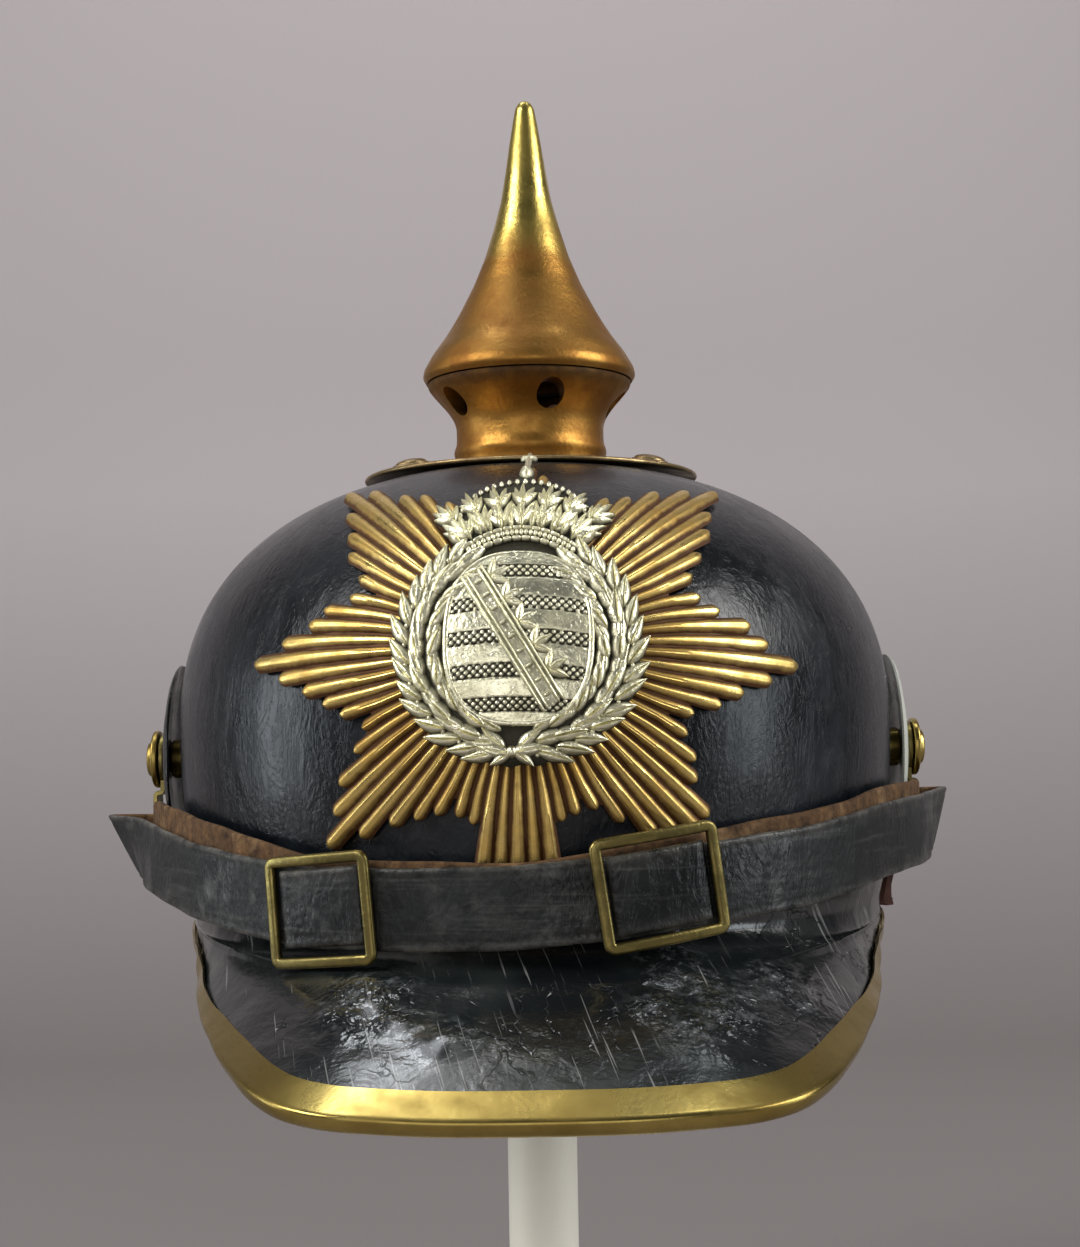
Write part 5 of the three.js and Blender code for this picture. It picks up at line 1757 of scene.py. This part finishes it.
@dataclass
class SideFittings:
    """Cockade, post and strap lug at each side, turned round X."""

    form: CrownForm
    cockade_radius: float = 24.0
    cockade_gap: float = 0.9
    cockade_sheet: float = 1.0
    cockade_dish: float = 3.6
    ring_rise: float = 0.28
    ring_width: float = 0.022
    ring_shares: tuple = (0.5, 0.72, 0.95)
    cap: tuple = ((1, 0), (1, 0.42), (0.86, 0.5), (0.66, 0.46), (0.58, 0.86))
    post_height: float = 36.4
    shaft_radius: float = 3.0
    collar_radius: float = 5.0
    head_radius: float = 7.4
    head_depth: float = 3.6
    lug_sheet: float = 1.2
    lug_ring: float = 6.6
    tongue_width: float = 8.0
    tongue_wall: float = 1.4
    tongue_length: float = 19.0
    tongue_step: float = 1.9
    strap_wall: float = 1.6
    clearance: float = 0.3

    @property
    def cockade_x(self) -> float:
        """Where the cockade's back lies at its rim."""
        return self.form.half_width + self.cockade_gap

    @property
    def post_z(self) -> float:
        """Height of both posts."""
        return self.form.rim_z + self.post_height

    @property
    def face_x(self) -> float:
        """Where the cockade's face ends at its middle."""
        return self.cockade_x + self.cockade_dish + self.cockade_sheet

    @property
    def lug_x(self) -> float:
        """Near face of the lug's ring."""
        return self.face_x + self.clearance

    @property
    def run_x(self) -> float:
        """Middle of the strap's inner run where it passes the post."""
        return self.face_x - 0.1 + self.clearance + self.strap_wall / 2

    def cockade(self, side: int, finish: Finish, name: str, node: str) -> None:
        """A dished disc pressed with three raised rings, its edge thin."""
        rim = self.cockade_x
        radius = np.linspace(self.shaft_radius + self.clearance, self.cockade_radius, 64)
        share = radius / self.cockade_radius
        dish = rim + self.cockade_dish * (1 - share ** 2)
        rings = self.ring_rise * sum(hump(share, at, self.ring_width) for at in self.ring_shares)
        outer = np.stack([radius, dish + self.cockade_sheet + rings - self.ring_rise], 1)
        inner = np.stack([radius, dish], 1)[::-1]
        profile = np.vstack([outer, [[self.cockade_radius + 0.25, rim + 0.45]], inner])
        r = profile[:, 0] / self.cockade_radius
        loft = turned(profile, 96, True, band=smooth_step(r, 0.5, 0.52) * smooth_step(r, 0.73, 0.71))
        placed = on_side(loft, side, self.post_z)
        dress(mesh_object(name, [placed]), finish, node)

    def post(self, side: int, name: str, node: str) -> None:
        """Collar, shaft and a domed head with a rolled rim."""
        near = self.form.half_width + self.clearance
        share = self.collar_radius / self.cockade_radius
        collar = self.cockade_x + self.cockade_dish * (1 - share ** 2) - self.clearance
        head = self.lug_x + self.lug_sheet + self.clearance
        foot = [
            [NEAR_AXIS, near], [self.collar_radius, near], [self.collar_radius, collar],
            [self.shaft_radius, collar], [self.shaft_radius, head],
        ]
        cap = np.array(self.cap) * (self.head_radius, self.head_depth) + (0, head)
        profile = np.vstack([foot, cap, [[NEAR_AXIS, head + self.head_depth]]])
        placed = on_side(turned(rounded(profile, 0.5), 56), side, self.post_z)
        dress(mesh_object(name, [placed]), YELLOW_BRASS, node)

    def lug(self, side: int, name: str, node: str) -> None:
        """A ring on the post and a tongue that steps out and hangs inside the strap's fold."""
        x0, x1 = self.lug_x, self.lug_x + self.lug_sheet
        hole, outside = self.shaft_radius + self.clearance, self.lug_ring
        ring = rounded(np.array([[hole, x0], [outside, x0], [outside, x1], [hole, x1]]), 0.3, True)
        z = self.post_z
        parts = [on_side(turned(ring, 56, True), side, z)]
        top = -self.head_radius - self.clearance
        step = top - self.tongue_step / 2
        tongue_x = self.run_x + (self.strap_wall + self.tongue_wall) / 2 + self.clearance
        mid = (x0 + x1) / 2
        corners = [[mid, 1.2 - outside], [mid, step], [tongue_x, step], [tongue_x, top - self.tongue_length]]
        path = round_path(rounded(np.array(corners), 0.9), 50, False)
        out = to_right(unit(np.gradient(path, axis=0)))
        end = np.clip(np.linspace(1, 0, 50) * 8, 0, 1)
        width = self.tongue_width * (0.62 + 0.38 * round_end(end))
        shape = round_box(1.0, 1.0, 0.12, 3)
        thick = self.lug_sheet * shape[:, 0]
        rings = np.stack([
            side * (path[:, None, 0] + out[:, None, 0] * thick), shape[:, 1] * width[:, None],
            z + path[:, None, 1] + out[:, None, 1] * thick,
        ], -1)
        parts.append(Loft(rings))
        dress(mesh_object(name, parts), OLIVE_BRASS, node)

    def build(self) -> None:
        """Both sides."""
        self.cockade(-1, BLACK_LACQUER, "cockade_black_disc", "cockade_dark")
        self.cockade(1, WHITE_LACQUER, "cockade_white_disc", "cockade_white")
        for side, name in ((-1, "left"), (1, "right")):
            self.post(side, f"side_post_head_{name}", f"side_post_{name}")
            self.lug(side, f"strap_lug_hook_{name}", f"strap_lug_{name}")


@dataclass
class ChinStrap:
    """The closed strap: an outer run over the front brim, a fold at each side, an inner run behind."""

    form: CrownForm
    fittings: SideFittings
    width: float = 17.0
    wall: float = 1.6
    inner_face: float = 6.3
    run_gap: float = 0.5
    swell: tuple = (58.0, 84.0)
    flare_start: float = 76.0
    flare_share: float = 0.62
    inner_rise: tuple = (
        ((0, 0.5), (28, 1.6), (48, 5.0), (76, 5.2), (88, 1.6)),
        ((0, 0.5), (14, 1.6), (30, 2.6), (76, 3.4), (88, 1.0)),
    )
    fold_reach: tuple = (11.1, 8.3)
    fold_lean: tuple = (4.4, 2.1)
    buckle_width: float = 27.0
    buckle_height: float = 23.6
    buckle_bar: float = 2.4
    buckle_wall: float = 1.8
    buckles: tuple = (("left", -27.5, 5.6, 5.0, 0.6), ("right", 14.8, 10.0, 8.0, -0.4))
    stations: int = 900
    waves: tuple = (9, 17, 31)
    wave_depth: float = 0.08
    press_at: float = 0.115
    press_depth: float = 0.2
    clearance: float = 0.3
    seed: int = 3
    top_edge: tuple = (
        (-100, 22.6), (-74, 21.3), (-48, 17.1), (-30, 14.4), (0, 15.0),
        (25, 19.2), (42, 21.6), (58, 24.7), (100, 25.9),
    )
    fold_rows: tuple = ((1, 3), (0.85, 5.6), (0.45, 7), (0.12, 6.4), (0, 4.2))

    @property
    def inner_offset(self) -> float:
        """Middle of the inner run, out from the rim."""
        return self.inner_face + self.wall / 2

    @property
    def outer_offset(self) -> float:
        """Middle of the outer run, out from the rim."""
        return self.inner_offset + self.wall + self.run_gap

    def swing(self, turn: Array) -> Array:
        """How far both runs swing out towards the cockades."""
        swell = self.fittings.run_x - (self.form.half_width - self.form.wall_taper) - self.inner_offset
        return swell * smooth_step(np.abs(turn), *self.swell)

    def per_side(self, pair: tuple, turn: Array) -> Array:
        """The value for the side that each turn lies on."""
        return np.where(turn > 0, pair[1], pair[0])

    def top(self, turn: Array) -> Array:
        """Height of the top edge over the rim."""
        return read_rows(self.top_edge, turn, 1, 9.0)

    def path(self) -> Array:
        """Middle line of the loop: rows of x, y and the top edge's height over the rim."""
        turn = np.linspace(-88, 88, 180)
        side = np.abs(turn)
        rise = self.per_side([np.interp(side, *zip(*rows)) for rows in self.inner_rise], turn)
        inner = self.form.beside_rim(turn, self.inner_offset + self.swing(turn), 0.0)
        flare = np.clip((side - self.flare_start) / (90 - self.flare_start), 0, 1) ** 2
        flare = self.flare_share * self.per_side(self.fold_reach, turn) * flare
        outer = self.form.beside_rim(turn, self.outer_offset + self.swing(turn) + flare, 0.0)
        inner[:, 2], outer[:, 2] = self.top(turn) + rise, self.top(turn)
        folds = []
        share, behind = np.array(self.fold_rows).T
        for number, way in ((1, 1), (0, -1)):
            away = way * (self.fittings.run_x + self.fold_reach[number] * share)
            folds.append(np.stack([away, behind, self.top(np.full(len(share), way * 90.0))], 1))
        return round_path(np.vstack([outer, folds[0], inner[::-1], folds[1][::-1]]), self.stations, True, 4)

    def strap(self) -> None:
        """A rounded strip carried round the loop, pressed with a line near each edge of its grain side."""
        path = self.path()
        out = to_right(loop_ways(path[:, :2]))
        reach = self.per_side(self.fold_reach, path[:, 0])
        share = np.clip((np.abs(path[:, 0]) - self.fittings.run_x) / reach, 0, 1)
        lean = np.sign(path[:, 0]) * self.per_side(self.fold_lean, path[:, 0]) * smooth_step(share, 0, 1)
        v = np.concatenate([[0.0, 0.012, 0.035], np.linspace(0.07, 0.93, 27), [0.965, 0.988, 1.0]])
        corner = np.minimum(np.minimum(v, 1 - v) / 0.035, 1)
        half = self.wall / 2 * round_end(corner) * 0.98 + 0.02
        line = self.press_depth * (hump(v, self.press_at, 0.016) + hump(v, 1 - self.press_at, 0.016))
        away = np.concatenate([half - line + 0.06 * np.sin(math.pi * v), -half[::-1]])
        down = np.concatenate([v, v[::-1]]) * self.width
        draw = np.random.default_rng(self.seed)
        wave = np.zeros(len(path))
        loop = np.linspace(0, 2 * math.pi, len(path), endpoint=False)
        for count in self.waves:
            wave += self.wave_depth * np.sin(count * loop + draw.uniform(0, 6.28))
        x = path[:, None, 0] + out[:, None, 0] * away + lean[:, None] * (1 - 2 * down / self.width)
        y = path[:, None, 1] + out[:, None, 1] * away
        z = self.form.rim_z + path[:, None, 2] - down + wave[:, None]
        flesh = np.broadcast_to(np.repeat([0.0, 1.0], len(v)), x.shape)
        edge = np.exp(-np.minimum(v, 1 - v) / 0.05)
        edges = np.broadcast_to(np.concatenate([edge, edge[::-1]]), x.shape)
        loft = Loft(np.stack([x, y, z], -1), True, {"flesh": flesh, "edge": edges})
        dress(mesh_object("chin_strap_leather", [loft], 70), STRAP_HIDE, "chin_strap")

    def place(
        self, turn: float, up: float, tilt: float, x: Array, y: Array, out: Array,
    ) -> Array:
        """Points on the outer run's face from flat sizes round a buckle's middle, turned by its tilt."""
        across, along = self.form.axes(self.form.rim_z)
        near = self.outer_offset + self.wall / 2 + self.clearance
        middle = math.radians(turn)
        radius = math.hypot(float(along) * math.sin(middle), float(across) * math.cos(middle)) + near
        spin = math.radians(tilt)
        flat_x = x * math.cos(spin) - y * math.sin(spin)
        flat_y = x * math.sin(spin) + y * math.cos(spin)
        return self.form.beside_rim(turn + np.degrees(flat_x / radius), near + out, up + flat_y)

    def buckle(self, name: str, node: str, turn: float, up: float, tilt: float) -> None:
        """A rectangular frame with round corners, its bar a softened box in section."""
        bar = self.buckle_bar
        path = round_box(self.buckle_width - bar, self.buckle_height - bar, 1.3, 6, 16)
        across = to_right(loop_ways(path))
        shape = round_box(bar, self.buckle_wall, 0.75, 4)
        x = path[:, None, 0] + across[:, None, 0] * shape[:, 0]
        y = path[:, None, 1] + across[:, None, 1] * shape[:, 0]
        z = np.broadcast_to(self.buckle_wall / 2 + shape[:, 1], x.shape)
        loft = Loft(self.place(turn, up, tilt, x, y, z), True)
        dress(mesh_object(name, [loft], 50), OLIVE_BRASS, node)

    def panel(self, name: str, turn: float, up: float, tilt: float, shift: float) -> None:
        """The doubled strap end that shows inside a buckle, slightly pillowed."""
        wide, high = self.buckle_width - 2 * self.buckle_bar - 0.9, self.width - 0.6
        u = np.linspace(-1, 1, 30)
        v = np.concatenate([[0.0, 0.02, 0.05], np.linspace(0.09, 0.91, 20), [0.95, 0.98, 1.0]])
        corner = np.minimum(np.minimum(v, 1 - v) / 0.05, 1)
        thick = 0.1 + round_end(corner) + 0.12 * np.sin(math.pi * v) * (1 - u[:, None] ** 2)
        thick -= 0.16 * (hump(v, 0.13, 0.02) + hump(v, 0.87, 0.02))
        thick *= 1 - 0.75 * np.abs(u[:, None]) ** 14
        x = np.broadcast_to(u[:, None] * wide / 2, thick.shape)
        y = np.broadcast_to(high / 2 - v * high + shift, thick.shape)
        base = np.full(thick.shape, -0.22)
        x, y = (np.concatenate([flat, flat[:, ::-1]], 1) for flat in (x, y))
        out = np.concatenate([thick + base, base], 1)
        edge = np.exp(-v / 0.06) * 1.3 + 0.7 * np.exp(-(1 - v) / 0.05)
        marks = {"edge": np.broadcast_to(np.concatenate([edge, edge[::-1]]), x.shape)}
        loft = Loft(self.place(turn, up, tilt, x, y, out), marks=marks)
        dress(mesh_object(name, [loft], 60), STRAP_HIDE)

    def build(self) -> None:
        """Strap, both buckles and the panels inside them."""
        self.strap()
        for name, turn, up, tilt, shift in self.buckles:
            self.buckle(f"buckle_frame_{name}", f"buckle_{name}", turn, up, tilt)
            self.panel(f"strap_panel_{name}", turn, up, tilt, shift)


@dataclass
class Stand:
    """The plain stand: round foot, post and a domed pad under the crown."""

    form: CrownForm
    base_radius: float = 75.0
    base_thickness: float = 12.0
    post_radius: float = 9.0
    pad_radius: float = 33.0
    pad_depth: float = 13.0
    pad_edge: float = 4.0
    wall: float = 2.5
    clearance: float = 0.3

    def build(self) -> None:
        """Three lathed pieces with softened corners."""
        r, t, near, gap = self.base_radius, self.base_thickness, self.post_radius, self.clearance
        shoulder, seat = r - 0.3 * t, near + 3
        foot = np.array([[NEAR_AXIS, 0], [r, 0], [r, 0.7 * t], [shoulder, t], [seat, t], [NEAR_AXIS, t]])
        disc = turned(rounded(foot, 1.6), 140)
        dress(mesh_object("stand_foot_disc", [disc], 40), STAND_PAINT, "stand_base")
        low = self.form.top_z - self.wall - gap - self.pad_depth
        post = np.array([[NEAR_AXIS, t + gap], [near, t + gap], [near, low - gap], [NEAR_AXIS, low - gap]])
        dress(mesh_object("stand_post_tube", [turned(rounded(post, 0.6), 72)]), STAND_PAINT, "stand_post")
        reach = self.pad_radius - self.pad_edge
        radius = np.linspace(reach, NEAR_AXIS, 14)
        share = radius / (self.form.half_width - self.wall)
        n = self.form.roundness
        dome = self.form.widest_z + (self.form.dome_rise - self.wall) * (1 - share ** n) ** (1 / n) - 0.6
        edge = rounded(np.array([
            [NEAR_AXIS, low], [self.pad_radius, low],
            [self.pad_radius, low + self.pad_edge], [reach, dome[0]],
        ]), 1.4)
        pad = np.vstack([edge, np.stack([radius, dome], 1)[1:]])
        dress(mesh_object("stand_pad_dome", [turned(pad, 96)], 45), STAND_PAINT, "stand_pad")


# The studio

@dataclass
class Lamp:
    """A soft box: where it stands, what it looks at, its size and strength."""

    name: str
    place: tuple
    size: tuple
    power: float
    colour: tuple = (1.0, 0.985, 0.97)
    target: tuple = (0.0, 0.0, 0.22)

    def build(self) -> None:
        """An area light turned to its target."""
        data = bpy.data.lights.new(self.name, "AREA")
        data.shape, data.size, data.size_y = "RECTANGLE", *self.size
        data.energy, data.color = self.power, self.colour
        made = bpy.data.objects.new(self.name, data)
        bpy.context.scene.collection.objects.link(made)
        made.location = self.place
        x, y, z = np.array(self.target) - np.array(self.place)
        made.rotation_euler = (math.pi / 2 + math.atan2(z, math.hypot(x, y)), 0, math.atan2(-x, y))


@dataclass
class Studio:
    """Seamless paper, soft boxes, a dim room and the camera."""

    focal_px: float = 1923.0
    frame_px: tuple = (1080, 1247)
    sensor: float = 36.0
    camera_place: tuple = (0.0012, -0.500, 0.200)
    horizon_px: float = 111.5
    roll: float = 1.0
    room_colour: tuple = (0.86, 0.87, 0.9, 1)
    room_strength: float = 0.07
    paper_bend: float = 0.55
    paper_back: float = 1.25
    paper_front: float = -2.2
    paper_high: float = 2.6
    paper_half: float = 2.2
    lamps: tuple = (
        Lamp("left soft box", (-1.20, -0.55, 1.10), (0.75, 0.8), 19.0),
        Lamp("right soft box", (1.29, -0.35, 1.05), (0.7, 0.8), 17.0),
        Lamp("left wall", (-1.35, 0.02, 0.30), (0.45, 0.55), 3.4, (0.88, 0.95, 1.0)),
        Lamp("right wall", (1.30, -0.35, 0.30), (0.4, 0.5), 2.8, (0.88, 0.95, 1.0)),
        Lamp("front wall", (-0.22, -1.45, 0.42), (1.3, 0.8), 4.6),
        Lamp("left ceiling card", (-0.43, 0.06, 1.48), (0.24, 0.24), 1.3, (0.92, 0.96, 1.0)),
        Lamp("right ceiling card", (0.36, 0.06, 1.50), (0.22, 0.22), 1.1, (0.92, 0.96, 1.0)),
        Lamp("ceiling lamp", (-0.115, 0.15, 1.6), (0.17, 0.4), 0.7),
        Lamp("visor card", (-0.37, 0.27, 1.6), (0.25, 0.22), 2.2, (0.92, 0.96, 1.0)),
        Lamp("paper lamp", (0.0, 0.35, 1.9), (1.4, 0.5), 13.0, target=(0.0, 1.35, 1.62)),
    )

    def paper(self) -> None:
        """Floor that runs back, bends up along a quarter circle and rises behind."""
        bend, back = self.paper_bend, self.paper_back
        turn = np.linspace(0, math.pi / 2, 40)
        y = np.concatenate([[self.paper_front, 0.0], back - bend + bend * np.sin(turn), [back]])
        z = np.concatenate([[0.0, 0.0], bend - bend * np.cos(turn), [self.paper_high]])
        x = np.linspace(-self.paper_half, self.paper_half, 9)
        points = np.stack(np.broadcast_arrays(x, y[:, None], z[:, None]), -1).reshape(-1, 3)
        index = np.arange(len(points)).reshape(len(y), len(x))
        faces = np.stack([index[:-1, :-1], index[:-1, 1:], index[1:, 1:], index[1:, :-1]], -1).reshape(-1, 4)
        mesh = bpy.data.meshes.new("paper_sweep")
        mesh.from_pydata(points.tolist(), [], faces.tolist())
        mesh.shade_smooth()
        made = bpy.data.objects.new("paper_sweep", mesh)
        bpy.context.scene.collection.objects.link(made)
        made.data.materials.append(BACKDROP_PAPER.build())

    def room(self) -> None:
        """Even dim light from all round."""
        world = bpy.data.worlds.new("room")
        world.use_nodes = True
        shade = world.node_tree.nodes["Background"]
        shade.inputs["Color"].default_value = self.room_colour
        shade.inputs["Strength"].default_value = self.room_strength
        bpy.context.scene.world = world

    def camera(self) -> None:
        """Level camera at the photograph's place, framed upwards and rolled by one degree."""
        data = bpy.data.cameras.new("camera")
        data.sensor_width = self.sensor
        data.lens = self.sensor * self.focal_px / max(self.frame_px)
        data.shift_y = self.horizon_px / max(self.frame_px)
        data.clip_start, data.clip_end = 0.01, 20.0
        made = bpy.data.objects.new("camera", data)
        bpy.context.scene.collection.objects.link(made)
        made.location = self.camera_place
        made.rotation_euler = (math.pi / 2, math.radians(self.roll), 0)
        bpy.context.scene.camera = made

    def build(self) -> None:
        """Everything round the object."""
        self.camera()
        self.paper()
        self.room()
        for lamp in self.lamps:
            lamp.build()
        view = bpy.context.scene.view_settings
        view.view_transform, view.look, view.exposure = "Standard", "None", 0.0


def main() -> None:
    """Builds the studio and then the helmet, piece by piece."""
    logging.basicConfig(level=logging.INFO, format="%(name)s: %(message)s")
    Studio().build()
    form = CrownForm()
    badge = BadgeFrame(form)
    fittings = SideFittings(form)
    for assembly in (
        Crown(form), Brims(form), SpikeFittings(form), Star(badge), Arms(badge),
        fittings, ChinStrap(form, fittings), Stand(form),
    ):
        assembly.build()


if __name__ == "__main__":
    main()
